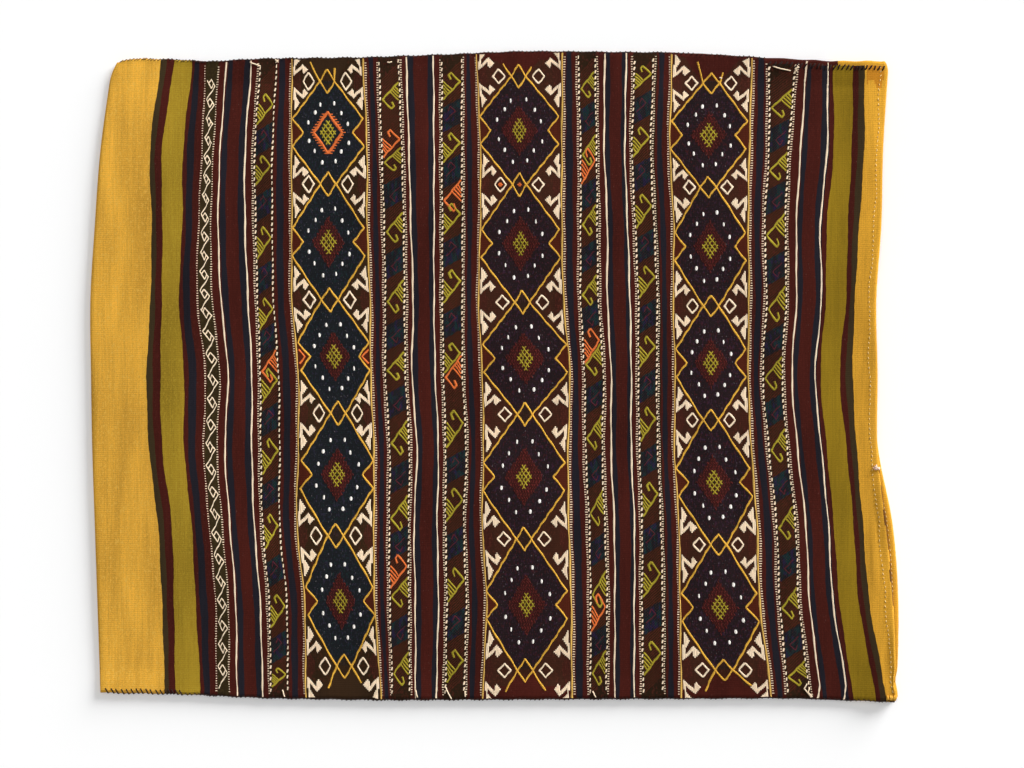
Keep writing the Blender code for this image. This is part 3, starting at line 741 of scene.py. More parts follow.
def fold_turn(angle):
    """Points of the round fold, from the front's face to the back's."""
    rows = rows_at(0.0)
    lift = seam_lift(0.0, rows)
    radius = (front_height(0.0, rows) - lift) / 2.0
    x = front_x(0.0, rows) + radius - radius * math.sin(angle)
    return np.stack([x, rows, lift + radius + radius * math.cos(angle)], axis=-1)


def on_back(distance, rise=0.0):
    """A column of points of the back's lower face."""
    rows = rows_at(distance)
    return np.stack([back_x(distance, rows), rows, seam_lift(distance, rows) + rise], axis=-1)


def back_columns():
    """The back's distances from the fold, with the wool that follows each."""
    columns = []
    ends = [start for start, _ in BACK_BANDS[1:]] + [LINES["mouth"][0]]
    for (start, name), end in zip(BACK_BANDS, ends):
        steps = math.ceil((end - start) * MM / BACK_STEP)
        columns += [((start + (end - start) * step / steps) * MM, name) for step in range(steps)]
    return columns[1:]


print(len(back_columns()), "columns on the back")

# %% [markdown]
# ## One path from hem to hem
#
# At the upper right the back's edge is drawn over the front's and sewn down there, and the
# yellow beside it, where the cloth bunches, is painted darker as painted shade. So the last
# rows there take the back's wools.

# %% The path from hem to hem
WRAP_START = 1.070
WRAP_YELLOW = 1.172
WRAP_ROWS = 3
# Rows beside the wrapped edge are painted darker yellow: painted shade where the cloth bunches
SHADED_ROWS = 9
SHADED_SWAY = 1.4
SHADED_RATE = 260.0


def with_wrap(distance, names):
    """The wools of a column, with the wrapped edge and the painted shade of bunched cloth beside
    it.
    """
    place = float(distance[-1])
    if place < WRAP_START:
        return names
    if place > AT["last yellow"]:
        shaded = SHADED_ROWS + round(SHADED_SWAY * math.sin(place * SHADED_RATE))
        names = names[:-shaded] + ["soiled"] * shaded
    wrapped = "mouth yellow" if place > WRAP_YELLOW else "maroon"
    return names[:-WRAP_ROWS] + [wrapped] * WRAP_ROWS


def cloth_path():
    """Stations along the whole cloth: points of its outer face and the wools after them."""
    yellow = ["yellow"] * ROW_COUNT
    hem = ["mouth yellow"] * ROW_COUNT
    path = [(on_front(LENGTH - HEM_TURN, rows_at(LENGTH), -2.0 * HEM_RADIUS), hem)]
    turns = [math.pi * step / HEM_STEPS for step in range(HEM_STEPS, -1, -1)]
    path += [(hem_turn(front_x, front_lip, angle), lip_names(angle)) for angle in turns]
    columns = front_columns()
    for index in range(len(columns) - 1, -1, -1):
        distance = columns[index][0]
        before = with_wrap(*columns[max(index - 1, 0)])
        path.append((on_front(distance, rows_at(distance.mean())), before))
    path += [(fold_turn(math.pi * step / FOLD_STEPS), yellow) for step in range(FOLD_STEPS + 1)]
    path += [(on_back(distance), [name] * ROW_COUNT) for distance, name in back_columns()]
    path += [(hem_turn(back_x, back_lip, angle), hem) for angle in turns]
    path.append((on_back(LENGTH - HEM_TURN, 2.0 * HEM_RADIUS), hem))
    return path


path = cloth_path()
print(len(path), "stations from hem to hem")

# %% [markdown]
# ## The cloth's mesh
#
# The stations become one grid of faces, each with its wool. The grid is the outer face, so
# the thickness grows inwards only. The result is applied, so that the piece is its own final
# mesh, and it replaces the plain solid.

# %% Make the cloth
def grid_mesh(name, columns, wools):
    """A mesh from columns of points, with one wool for each face between two columns."""
    points = np.concatenate([points for points, _ in columns])
    faces, slots = [], []
    for column, (_, names) in enumerate(columns[:-1]):
        base = column * ROW_COUNT
        for row in range(ROW_COUNT - 1):
            low, high = base + row, base + row + ROW_COUNT
            faces.append((low, low + 1, high + 1, high))
            slots.append(wools.index(names[row]))
    mesh = bpy.data.meshes.new(name)
    mesh.from_pydata(points.tolist(), [], faces)
    for wool_name in wools:
        mesh.materials.append(WOOLS[wool_name])
    mesh.polygons.foreach_set("material_index", slots)
    mesh.polygons.foreach_set("use_smooth", [True] * len(faces))
    return mesh


def show(name, mesh):
    """A new object that rides with the bag."""
    piece = bpy.data.objects.new(name, mesh)
    bpy.context.scene.collection.objects.link(piece)
    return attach(piece, "root")


def apply_modifiers(piece):
    """Turn the piece's modifiers into its final mesh."""
    bpy.context.view_layer.update()
    final = bpy.data.meshes.new_from_object(
        piece.evaluated_get(bpy.context.evaluated_depsgraph_get()))
    piece.modifiers.clear()
    piece.data = final


used = sorted({name for _, names in path for name in names})
cloth = show("woven_cloth_dressed", grid_mesh("woven_cloth_dressed", path, used))
thick = cloth.modifiers.new("thickness", "SOLIDIFY")
thick.thickness = CLOTH_THICK
thick.offset = -1.0
apply_modifiers(cloth)
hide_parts("woven_cloth")
print("cloth:", len(cloth.data.polygons), "faces,", len(used), "wools")

# %% [markdown]
# ## Stitches
#
# The pattern is brocade: short floats of coloured wool laid over the ground. From above each
# float is a small rounded bar. So one small hip-roofed bar is the building block, and every
# line or figure is a run of them in one wool. All the bars of one wool become one mesh,
# built at once from arrays, because there are tens of thousands.

# %% Floats in rows
STITCH = 0.0027
LINE_RISE = 0.0006
FLAT_RISE = 0.0003
stitches = {}


def lay(wool_name, distance, y, angle, half_length, half_width, rise=LINE_RISE):
    """Remember some floats: middles, direction, half their length and width, and rise."""
    parts = np.broadcast_arrays(*(np.asarray(part, float) for part in
                                  (distance, y, angle, half_length, half_width, rise)))
    stitches.setdefault(wool_name, []).append(np.stack([part.ravel() for part in parts], axis=1))


def sew(wool_name, route, width, pitch=STITCH, slant=0.0, length=0.72, rise=LINE_RISE):
    """Floats in a row along a route of (distance, y) places."""
    route = np.array(route, float)
    for start, end in zip(route, route[1:]):
        run = end - start
        far = float(np.hypot(*run))
        count = max(1, round(far / pitch))
        share = (np.arange(count) + 0.5) / count
        places = start + run * share[:, None]
        angle = math.atan2(run[1], run[0]) + slant
        lay(wool_name, places[:, 0], places[:, 1], angle, length * far / count, width / 2.0, rise)


print("one float every", round(STITCH / MM, 1), "mm along a line")

# %% [markdown]
# ## Filled figures
#
# A filled figure is covered by rows of floats that lie along the weft, one row beside the
# other, cut where they meet its outline. Its stepped edge comes from the floats themselves.

# %% Floats that fill an outline
FILL_PITCH = 0.0019
FILL_OVERLAP = 0.60
FILL_FATNESS = 0.66
FIGURE_RISE = 0.0006
TOP_RISE = 0.0008
PATCH_RISE = 0.0004
HATCH_RISE = 0.00015


def crossings(outline, distance):
    """The heights where an upright line cuts an outline, in order."""
    found = []
    for (x0, y0), (x1, y1) in zip(outline, outline[1:] + outline[:1]):
        if (x0 <= distance) != (x1 <= distance):
            found.append(y0 + (y1 - y0) * (distance - x0) / (x1 - x0))
    return sorted(found)


def fill(wool_name, outline, float_length=RIB_PITCH, rise=FIGURE_RISE, ragged=0.0):
    """Cover an outline with floats that lie along the weft, each over one pair of warps."""
    low = min(place[0] for place in outline)
    high = max(place[0] for place in outline)
    count = max(1, round((high - low) / FILL_PITCH))
    for step in range(count):
        distance = low + (high - low) * (step + 0.5) / count
        cuts = crossings(outline, distance)
        for bottom, top in zip(cuts[::2], cuts[1::2]):
            bottom, top = bottom - ragged * (step % 2), top + ragged * (step % 2)
            floats = max(1, round((top - bottom) / float_length))
            share = (np.arange(floats) + 0.5) / floats
            lay(wool_name, distance, bottom + (top - bottom) * share, math.pi / 2.0,
                FILL_OVERLAP * (top - bottom) / floats, FILL_FATNESS * (high - low) / count, rise)


print("one row of floats every", round(FILL_PITCH / MM, 1), "mm in a figure")

# %% [markdown]
# ## From floats to a mesh
#
# Each float has four corners just under the cloth's face and a ridge of two points over it,
# so light catches it as it does on wool. A bar this small needs no more.

# %% One mesh of floats
STITCH_SINK = 0.0002
FLOAT_CORNERS = ((-0.9, -1), (0.9, -1), (0.9, 1), (-0.9, 1))
FLOAT_RIDGE = (-0.75, 0.75)
FLOAT_FACES = ((3, 2, 1, 0), (0, 1, 5, 4), (2, 3, 4, 5), (1, 2, 5), (3, 0, 4))
FLOAT_POINTS = len(FLOAT_CORNERS) + len(FLOAT_RIDGE)


def stitch_mesh(name, wool_name):
    """One mesh of all the floats of a wool, each a closed bar with a rounded back."""
    rows = np.concatenate(stitches[wool_name])
    middle, half_length, half_width = rows[:, :2], rows[:, 3:4], rows[:, 4:5]
    along = np.stack([np.cos(rows[:, 2]), np.sin(rows[:, 2])], axis=1)
    across = np.stack([-along[:, 1], along[:, 0]], axis=1)
    corners = [middle + along * half_length * a + across * half_width * b
               for a, b in FLOAT_CORNERS]
    ridge = [middle + along * half_length * a for a in FLOAT_RIDGE]
    flat = [on_front(p[:, 0], p[:, 1], -STITCH_SINK) for p in corners]
    flat += [on_front(p[:, 0], p[:, 1], rows[:, 5]) for p in ridge]
    points = np.stack(flat, axis=1).reshape(-1, 3)
    faces = [tuple(number * FLOAT_POINTS + corner for corner in face)
             for number in range(len(rows)) for face in FLOAT_FACES]
    mesh = bpy.data.meshes.new(name)
    mesh.from_pydata(points.tolist(), [], faces)
    mesh.materials.append(WOOLS[wool_name])
    return mesh


print(FLOAT_POINTS, "points and", len(FLOAT_FACES), "faces a float")

# %% [markdown]
# ## Lines that run the whole width
#
# Ivory stripes edge the maroon bands, and dotted ivory chains edge the meander and the
# hooked bands. A gold line and a fine chain close each medallion column.

# %% Stripes, chains and dashes
SIDE_CLEARANCE = 0.002
STRIPE_WIDTH = 0.0034
BEND_REACH = 0.022
BAR_PITCH = 0.0040
BAR_FATNESS = 0.27
CHAIN_INSET = 0.004
DASH_PITCH = 0.0094
DASH_INSET = 0.006
DASH_HALF_LENGTH = 0.0032
DASH_WIDTH = 0.0036
DASH_LEAN = math.radians(78.0)


def heights_between(low, high, pitch):
    return np.arange(low + pitch / 2.0, high, pitch)


def ends_of(distance):
    lower, upper = side_edges(distance)
    return float(lower) + SIDE_CLEARANCE, float(upper) - SIDE_CLEARANCE


def ivory_stripe(distance, bend=0.0):
    """An ivory stripe, which may bend towards the fold at its lower end."""
    low, high = ends_of(distance)
    route = [(distance - bend, low), (distance, low + BEND_REACH), (distance, high)]
    sew("ivory", route, STRIPE_WIDTH, pitch=RIB_PITCH, length=0.60, rise=FLAT_RISE)


def chain(distance, width):
    """A fine ladder of ivory bars, one over every second warp."""
    low, high = ends_of(distance)
    heights = heights_between(low + CHAIN_INSET, high - CHAIN_INSET, BAR_PITCH)
    lay("ivory", distance, heights, 0.0, width / 2.0, BAR_FATNESS * BAR_PITCH, FLAT_RISE)


def dashes(distance, shift=0.0):
    """A dotted line of ivory teeth, each over three warps and a little aslant."""
    low, high = ends_of(distance)
    heights = heights_between(low + DASH_INSET + shift, high - DASH_INSET, DASH_PITCH)
    lay("ivory", distance, heights, DASH_LEAN, DASH_HALF_LENGTH, DASH_WIDTH / 2.0, FLAT_RISE)


print("a stripe from", [round(end, 3) for end in ends_of(AT["ivory 1"])])

# %% [markdown]
# ## Lay the lines
#
# A hooked band has teeth on both edges, and a chain outside them. The first band has no chain
# on its side towards the mouth, as in the real weave. The last two ivory stripes bend at
# their lower end.

# %% Lay the stripes, chains and dashes
BENDS = {7: 0.004, 8: 0.006}
MEANDER_BAND = 0.0228
WIDE_CHAIN = 0.0030
HOOK_CHAIN = 0.0028
HOOK_CHAIN_OFFSET = 0.0028
HOOK_DASH_INSET = 0.0004
LATE_DASHES = 0.004
GOLD_CHAIN_OFFSET = 0.0031
KHAKI_LINE = 0.0030

for number in range(1, 9):
    ivory_stripe(AT[f"ivory {number}"], BENDS.get(number, 0.0))
for distance in (AT["meander"], AT["meander"] + MEANDER_BAND):
    chain(distance, WIDE_CHAIN)
for band in range(1, 7):
    start, end = AT[f"hooks {band}"], AT[f"hooks {band} end"]
    chain(start - HOOK_CHAIN_OFFSET, HOOK_CHAIN)
    dashes(start + HOOK_DASH_INSET)
    dashes(end - HOOK_DASH_INSET, LATE_DASHES)
    if band > 1:
        chain(end + HOOK_CHAIN_OFFSET, HOOK_CHAIN)
for column in (1, 2, 3):
    for edge, outward in zip(field_edges(column), (-1, 1)):
        low, high = ends_of(edge)
        sew("khaki", [(edge, low), (edge, high)], KHAKI_LINE, slant=0.15)
        chain(edge + outward * GOLD_CHAIN_OFFSET, WIDE_CHAIN)
print(sum(len(rows) for rows in stitches["ivory"]), "ivory floats in the lines")

# %% [markdown]
# ## Medallions
#
# Gold lattice lines step round five medallions in each wide column. Between two medallions
# sit a small gold diamond and an open ivory eye on each side. In each corner an ivory horn
# grows out of the border. A red diamond with a green heart fills the middle, with a ring of
# ivory dots round it.

# %% Diamonds, rings and horns
# A horn's places, in millimetres: from the border inwards, and from the shoulder to the end
HORN = ((0.3, 59.5), (16.3, 44.5), (17.4, 57), (25.9, 47.5), (16.9, 37.5), (4.2, 50),
        (3.8, 41.5), (11.8, 29.5), (2.1, 15))
HORN_SHRINK = {1: 0.93, 2: 1.0, 3: 0.93}
HORN_MEDALLION = 0.189
HORN_INSET = 0.0022
LINE_SLANT = 0.2


def diamond(middle, y, half_width, half_length):
    return [(middle, y + half_length), (middle + half_width, y),
            (middle, y - half_length), (middle - half_width, y)]


def ring(wool_name, outline, width):
    sew(wool_name, outline + outline[:1], width, slant=LINE_SLANT)


def horn(column, side, way, upper, lower, centre):
    """One ivory horn; side is 1 at the border nearer the fold, way is 1 above the middle."""
    edge = field_edges(column)[0 if side == 1 else 1]
    stretch = (upper - lower) / HORN_MEDALLION
    shrink = HORN_SHRINK[column]
    shoulder = centre + way * NOTCH_HALF_LENGTH
    heights = [np.clip(shoulder + way * along * stretch * MM, *ends_of(edge))
               for _, along in HORN]
    fill("ivory", [(edge + side * (HORN_INSET + across * shrink * MM), height)
                   for (across, _), height in zip(HORN, heights)])


print("a horn is read from a medallion of", HORN_MEDALLION, "m")

# %% [markdown]
# ## The heart of a medallion
#
# The small green lattice is four lines that cross four others, with a dark hole in the middle.

# %% The heart
HEART_SIZE = (0.0135, 0.0235)
HEART_OFFSETS = (-0.0100, -0.0034, 0.0034, 0.0100)
HEART_SLOPE = 1.5
HEART_LINE = 0.0028
HEART_HOLE = (0.0026, 0.0036)
HOLE_RISE = 0.0010


def heart(middle, y):
    """The small green lattice in the middle of each medallion, with a dark hole at its centre."""
    half_width, half_length = HEART_SIZE
    rate = 1.0 / (HEART_SLOPE * half_width) + 1.0 / half_length
    for lean in (1, -1):
        for offset in HEART_OFFSETS:
            top = (1.0 - offset / half_width) / rate
            bottom = -(1.0 + offset / half_width) / rate
            sew("leaf", [(middle + lean * (offset + along / HEART_SLOPE), y + along)
                         for along in (bottom, top)], HEART_LINE, rise=TOP_RISE)
    fill("corner", diamond(middle, y, *HEART_HOLE), rise=HOLE_RISE)


print(len(HEART_OFFSETS), "lines each way in a heart")

# %% [markdown]
# ## Red and orange diamonds
#
# The red diamond round the heart has ragged edges and is hatched with brighter floats. One
# medallion has a comb-edged orange diamond instead.

# %% Diamonds round the heart
CENTRE_SIZE = {1: (0.024, 0.040), 2: (0.031, 0.042), 3: (0.026, 0.040)}
LONG_FLOAT = 0.0046
RED_RAGGED = 0.0028
BLOOD_ROW = 0.0052
BLOOD_PITCH = 0.0044
BLOOD_SHIFT = 0.002
BLOOD_FLOAT = (0.0022, 0.0007)
BLOOD_RISE = 0.0007
BLOOD_LEANS = (math.radians(118.0), math.radians(62.0))


def red_centre(middle, y, half_width, half_length):
    """A dark red diamond with ragged edges, hatched with brighter floats."""
    outline = diamond(middle, y, half_width, half_length)
    fill("red", outline, LONG_FLOAT, PATCH_RISE, RED_RAGGED)
    for number, row in enumerate(np.arange(-half_length, half_length, BLOOD_ROW)):
        odd = number % 2
        reach = half_width * (1.0 - abs(row) / half_length)
        places = np.arange(-reach + BLOOD_SHIFT * odd, reach + BLOOD_SHIFT, BLOOD_PITCH)
        lay("blood", middle + places, y + row, BLOOD_LEANS[odd], *BLOOD_FLOAT, BLOOD_RISE)


COMB_SIZE = (0.0215, 0.0335)
COMB_LINE = 0.0052
COMB_PITCH = 0.0042
COMB_OUT = 0.0035
COMB_TOOTH = (0.0030, 0.0011)


def orange_ring(middle, y):
    """The comb-edged orange diamond round the heart of one medallion."""
    half_width, half_length = COMB_SIZE
    ring("orange", diamond(middle, y, half_width, half_length), COMB_LINE)
    for row in np.arange(-half_length, half_length, COMB_PITCH):
        reach = half_width * (1.0 - abs(row) / half_length)
        for side in (1, -1):
            lay("orange", middle + side * (reach + COMB_OUT), y + row, 0.0, *COMB_TOOTH)


print("red diamonds, half their width and length:", list(CENTRE_SIZE.values()))

# %% [markdown]
# ## Dots, and the whole medallion
#
# The dots wander a little, because each was counted by eye at the loom. A medallion is its
# four horns, its middle and its dots.

# %% Dots and the whole medallion
# A dot's places, in millimetres from the middle of a field of this width
DOTS = ((-12.5, 53), (13, 53), (-24.5, 37), (25.5, 35), (-36, 17.5), (38, 16.5),
        (-36, -16.5), (38, -18.5), (-24.5, -34), (25, -36), (-12, -53.5), (12, -53.5))
DOT_FIELD = 0.140
DOT_POINTED = (0.0038, 0.0015)
DOT_ROUND = (0.0023, 0.0023)
# How far the dots wander, in millimetres, and the rates that settle it
DOT_SWAY_ACROSS = (1.1, 0.13, 40.0)
DOT_SWAY_ALONG = (1.3, 0.11, 31.0)


def dots(column, upper, lower, centre):
    """Twelve pale pointed dots round the middle of a medallion."""
    start, end = field_edges(column)
    shrink = (end - start) / DOT_FIELD
    stretch = (upper - lower) / HORN_MEDALLION
    middle = float(middle_of(column, centre))
    for across, along in DOTS:
        size, rate, centre_rate = DOT_SWAY_ACROSS
        across += size * math.sin(rate * along + centre_rate * centre)
        size, rate, centre_rate = DOT_SWAY_ALONG
        along += size * math.sin(rate * across + centre_rate * centre)
        place = (middle + across * shrink * MM, centre + along * stretch * MM)
        for half_length, half_width in (DOT_POINTED, DOT_ROUND):
            lay("dot", *place, math.pi / 2.0, half_length, half_width)


def medallion(column, number, upper, lower, centre):
    """One whole medallion; the first of the first column has the orange diamond."""
    for side in (1, -1):
        for way in (1, -1):
            horn(column, side, way, upper, lower, centre)
    half_width, half_length = CENTRE_SIZE[column]
    middle = float(middle_of(column, centre))
    if (column, number) == (1, 1):
        orange_ring(middle, centre)
    else:
        red_centre(middle, centre, half_width, half_length * (upper - lower) / HORN_MEDALLION)
    heart(middle, centre)
    dots(column, upper, lower, centre)


print(len(DOTS), "dots round each middle")

# %% [markdown]
# ## Joints, eyes and the gold lattice
#
# The two gold lines of a column cross at each joint and step in at each notch. Past the last
# joints they run out towards the sides, each in its own way.

# %% Joints and lattice
GOLD_LINE = 0.0034
EYE_LINE = 0.0034
EYE_OFFSET = {1: 0.0300, 2: 0.0328, 3: 0.0288}
EYE_HALF_WIDTH = {1: 0.0088, 2: 0.0102, 3: 0.0088}
EYE_HALF_LENGTH = {1: 0.0140, 2: 0.0114, 3: 0.0112}
CORNER_PATCH = ((2, 26), (9, 20), (15, 8), (15, -8), (9, -20), (2, -26))
CORNER_FLOAT = 0.0062
# Where the lattice lines run out at the upper and lower ends: distance from the middle, height
STUBS = {1: ((-27, 501), (13, 491), (-26, -501), (25, -493)),
         2: ((-25, 498), (21, 493), (-31, -507), (32, -505)),
         3: ((-21, 501), (17, 484), (-26, -506), (34, -497))}


def joint(column, y):
    """The gold diamond between two medallions, with an open ivory eye on each side."""
    start, end = field_edges(column)
    middle = float(middle_of(column, y))
    outline = diamond(middle, y, JOINT_HALF_WIDTH, JOINT_HALF_LENGTH[column])
    fill("corner", outline, rise=HATCH_RISE)
    ring("gold", outline, GOLD_LINE)
    for side, edge in ((-1, start), (1, end)):
        patch = [(edge - side * across * MM, y + along * MM) for across, along in CORNER_PATCH]
        fill("patch", patch, CORNER_FLOAT, HATCH_RISE)
        eye = diamond(middle + side * EYE_OFFSET[column], y, EYE_HALF_WIDTH[column],
                      EYE_HALF_LENGTH[column])
        ring("ivory", eye, EYE_LINE)


def lattice(column):
    """The two stepped gold lines round the medallions, and their ends past the last joints."""
    turns = sorted({height for upper, lower, centre in medallions(column)[1:-1]
                    for height in (upper, centre + NOTCH_HALF_LENGTH, centre,
                                   centre - NOTCH_HALF_LENGTH, lower)})
    heights = np.array(turns)
    widths = lattice_half_width(column, heights)
    middles = middle_of(column, heights)
    for side in (1, -1):
        sew("gold", list(zip(middles + side * widths, heights)), GOLD_LINE, slant=LINE_SLANT)
    for number, (across, height) in enumerate(STUBS[column]):
        joint_height = JOINTS[column][0 if number < 2 else -1][0] * MM
        middle = float(middle_of(column, joint_height))
        side = math.copysign(1.0, across)
        sew("gold", [(middle + side * JOINT_HALF_WIDTH, joint_height),
                     (middle + across * MM, height * MM)], GOLD_LINE, slant=LINE_SLANT)


def cut_horns(column):
    """The horns that the upper and lower ends of the cloth cut short."""
    whole = medallions(column)
    for side in (1, -1):
        horn(column, side, -1, *whole[0])
        horn(column, side, 1, *whole[-1])


for column in (1, 2, 3):
    lattice(column)
    cut_horns(column)
    for height, _ in JOINTS[column]:
        joint(column, height * MM)
    for number, whole in enumerate(medallions(column)[1:-1], 1):
        medallion(column, number, *whole)
print(sum(len(rows) for rows in stitches["gold"]), "gold floats in the lattice")

# %% [markdown]
# ## The weaver's own touches
#
# Here and there the weaver took up orange for a few floats: in two notches of the first
# column, and in one joint and one eye of the second.

# %% Touches of orange
TOUCH_LINE = 0.0036
TOUCH_NEAR = 0.0035
TOUCH_TIP = 0.0130
TOUCH_HALF_LENGTH = 0.0110
TOUCH_DIAMOND = (0.0034, 0.0040)

notch_height = medallions(1)[3][2]
for edge, side in zip(field_edges(1), (1, -1)):
    near, tip = edge + side * TOUCH_NEAR, edge + side * TOUCH_TIP
    sew("orange", [(near, notch_height + TOUCH_HALF_LENGTH), (tip, notch_height),
                   (near, notch_height - TOUCH_HALF_LENGTH)], TOUCH_LINE)
second_joint = JOINTS[2][1][0] * MM
for offset in (0.0, -EYE_OFFSET[2]):
    middle = float(middle_of(2, second_joint)) + offset
    fill("orange", diamond(middle, second_joint, *TOUCH_DIAMOND), rise=TOP_RISE)
print("orange notches at a height of", round(notch_height, 3))

# %% [markdown]
# ## Hooked bands
#
# Six narrow bands hold rows of hooked figures, light ones and dark ones by turns, and every
# second band is turned half round. The weaver changed colour freely, so each light figure
# has its own height and wool, read from top to bottom.

# %% The shape of a hook
HOOK_ROUTE = ((-0.02, -0.53), (0.96, 0.12), (0.44, 0.455), (0.30, 0.36), (0.41, 0.21))
HOOK_TEETH = (((0.49, -0.17), (0.0, 0.13)), ((0.38, -0.24), (-0.01, 0.01)),
              ((0.28, -0.31), (-0.01, -0.11)), ((0.18, -0.38), (-0.01, -0.22)))
HOOK_WIDTH = 0.0040
TOOTH_WIDTH = 0.0031
HOOK_MARGIN = 0.0026


def hook_place(band, y, length, across, along, turned=False):
    """A point of a hook: across the band from 0 to 1, along it from -0.5 to 0.5."""
    start, end = AT[f"hooks {band}"] + HOOK_MARGIN, AT[f"hooks {band} end"] - HOOK_MARGIN
    if (band % 2 == 0) != turned:
        across, along = 1.0 - across, -along
    return start + (end - start) * across, y + length * along


def hook(band, upper, lower, wool_name="leaf"):
    """One light figure. An orange one is turned round, to lock into its green neighbour."""
    y, length = (upper + lower) / 2.0 * MM, (upper - lower) * MM
    turned = wool_name == "orange"
    for lines, width in (((HOOK_ROUTE,), HOOK_WIDTH), (HOOK_TEETH, TOOTH_WIDTH)):
        for line in lines:
            sew(wool_name, [hook_place(band, y, length, *place, turned) for place in line], width)


print("a hook is one bent line and", len(HOOK_TEETH), "teeth")

# %% [markdown]
# ## Between the hooks
#
# The ground of a hooked band is hatched with fine slanting lines. Between two light hooks
# that stand apart lies a dark leaning patch, with a plum hook on it that hardly shows.

# %% Dark figures and hatching
DARK_PATCH = ((0.0, -0.69), (1.0, -0.31), (1.0, 0.69), (0.0, 0.31))
DARK_HOOK = ((0.15, -0.20), (0.70, 0.16), (0.42, 0.36), (0.30, 0.16))
DARK_LENGTH = 0.040
DARK_LINE = 0.0024
HATCH_PITCH = 0.0044
HATCH_RUN = 0.026
HATCH_LINE = 0.0017
HATCH_STITCH = 0.0050
HATCH_INSET = 0.003
HATCH_MARGIN = 0.008


def dark_figure(band, upper, lower):
    """The dark figure between two light hooks: a leaning patch with a plum hook on it."""
    y = (upper + lower) / 2.0 * MM
    patch = [hook_place(band, y, DARK_LENGTH, *place) for place in DARK_PATCH]
    fill("night", patch, LONG_FLOAT, PATCH_RISE)
    sew("plum", [hook_place(band, y, DARK_LENGTH, *place) for place in DARK_HOOK], DARK_LINE)


def hatching(band):
    """Fine slanting lines that fill the ground of a hooked band."""
    start, end = AT[f"hooks {band}"], AT[f"hooks {band} end"]
    low, high = ends_of(start)
    for y in np.arange(low + HATCH_MARGIN, high - HATCH_RUN - HATCH_MARGIN, HATCH_PITCH):
        line = [(start + HATCH_INSET, y), (end - HATCH_INSET, y + HATCH_RUN)]
        sew("hatch", line, HATCH_LINE, HATCH_STITCH, rise=HATCH_RISE)


print("a hatched line every", round(HATCH_PITCH / MM, 1), "mm")

# %% [markdown]
# ## Lay the hooked bands
#
# Each light figure is placed by the heights it was read at. Where two stand more than three
# centimetres apart, the dark figure goes between them.

# %% Lay the hooked bands
# Upper and lower height of each light figure, and its wool where it isn't green
HOOKS = {
    1: ((452, 402), (352, 305), (239, 187), (125, 74), (38, -14, "orange"), (13, -43), (-99, -157),
        (-220, -275), (-349, -402), (-468, -498)),
    2: ((467, 424), (394, 349, "orange"), (362, 325), (258, 210), (150, 97), (35, -10),
        (-75, -130), (-194, -251), (-285, -339, "orange"), (-325, -373), (-445, -499)),
    3: ((486, 442), (389, 341), (310, 259, "orange"), (276, 227), (170, 117), (53, 5),
        (29, -24, "orange"), (-54, -114), (-179, -232), (-306, -361), (-437, -490)),
    4: ((484, 442), (382, 333), (365, 307, "orange"), (270, 221), (158, 109), (77, 21, "orange"),
        (48, -3), (-67, -122), (-186, -243), (-315, -374), (-347, -408, "orange"), (-443, -499)),
    5: ((496, 459), (398, 350), (291, 236), (176, 125), (64, 14), (-49, -104), (-169, -224),
        (-296, -353), (-424, -479)),
    6: ((456, 410), (354, 310), (256, 202), (140, 83), (27, -26), (-88, -141), (-212, -265),
        (-341, -392), (-459, -499)),
}
SPACE_FOR_DARK = 30

for band, figures in HOOKS.items():
    hatching(band)
    for figure in figures:
        hook(band, *figure)
    for above, below in zip(figures, figures[1:]):
        if above[1] - below[0] > SPACE_FOR_DARK:
            dark_figure(band, above[1], below[0])
print(sum(len(figures) for figures in HOOKS.values()), "light hooks in", len(HOOKS), "bands")

# %% [markdown]
# ## The meander
#
# A thin ivory line runs down the narrow dark band. Two of its arms cross over and close a
# small lozenge, and a long slanting stroke leads to the next one.

# %% Meander
MEANDER_TOP = 0.466
MEANDER_PITCHES = ((0.101, 0.0306), (-0.505, 0.0357))
LAST_STROKE = -0.512
MEANDER_LINE = 0.0029
MEANDER_MIDDLE = AT["meander"] + 0.0118
WHOLE_PITCH = 0.0360
LEFT_ARM = ((-8.0, 6.6), (0.2, -8.4))
RIGHT_ARM = ((-1.0, 8.6), (8.0, -4.0))
CROSSINGS = ((-5.1, 1.4), (4.4, 1.0))


def meander_unit(y, pitch):
    """Places of one unit: its two arms and the two short sides that close the lozenge."""
    size = MM * pitch / WHOLE_PITCH
    lines = (LEFT_ARM, RIGHT_ARM, (RIGHT_ARM[0], CROSSINGS[0]), (CROSSINGS[1], LEFT_ARM[1]))
    return [[(MEANDER_MIDDLE + across * size, y + along * size) for across, along in line]
            for line in lines]


def meander():
    """Lozenges down the dark band, each joined to the next by a slanting stroke."""
    y = MEANDER_TOP
    for bottom, pitch in MEANDER_PITCHES:
        while y > bottom:
            unit = meander_unit(y, pitch)
            following = (unit[0][0][0], unit[0][0][1] - pitch)
            strokes = [[unit[1][1], following]] if following[1] > LAST_STROKE else []
            for line in unit + strokes:
                sew("ivory", line, MEANDER_LINE, rise=FLAT_RISE)
            y -= pitch


meander()
print("the meander starts at a height of", MEANDER_TOP)

# %% [markdown]
# ## The brocade pieces
#
# Now every wool has all its floats, and each wool becomes one piece that lies on the cloth.

# %% Make the brocade pieces
for wool_name in sorted(stitches):
    piece_name = wool_name.replace(" ", "_") + "_brocade"
    piece = show(piece_name, stitch_mesh(piece_name, wool_name))
    print(piece_name, len(piece.data.vertices) // FLOAT_POINTS, "floats")

# %% [markdown]
# ## Sewing
#
# Sewing threads stand out from the cloth, so each is a tube along its own path. A tube is
# built from rings of points, because a curve with a bevel would need one object for each of
# several hundred threads.

# %% Tubes along a path
TUBE_SIDES = 6
STEEP = 0.8


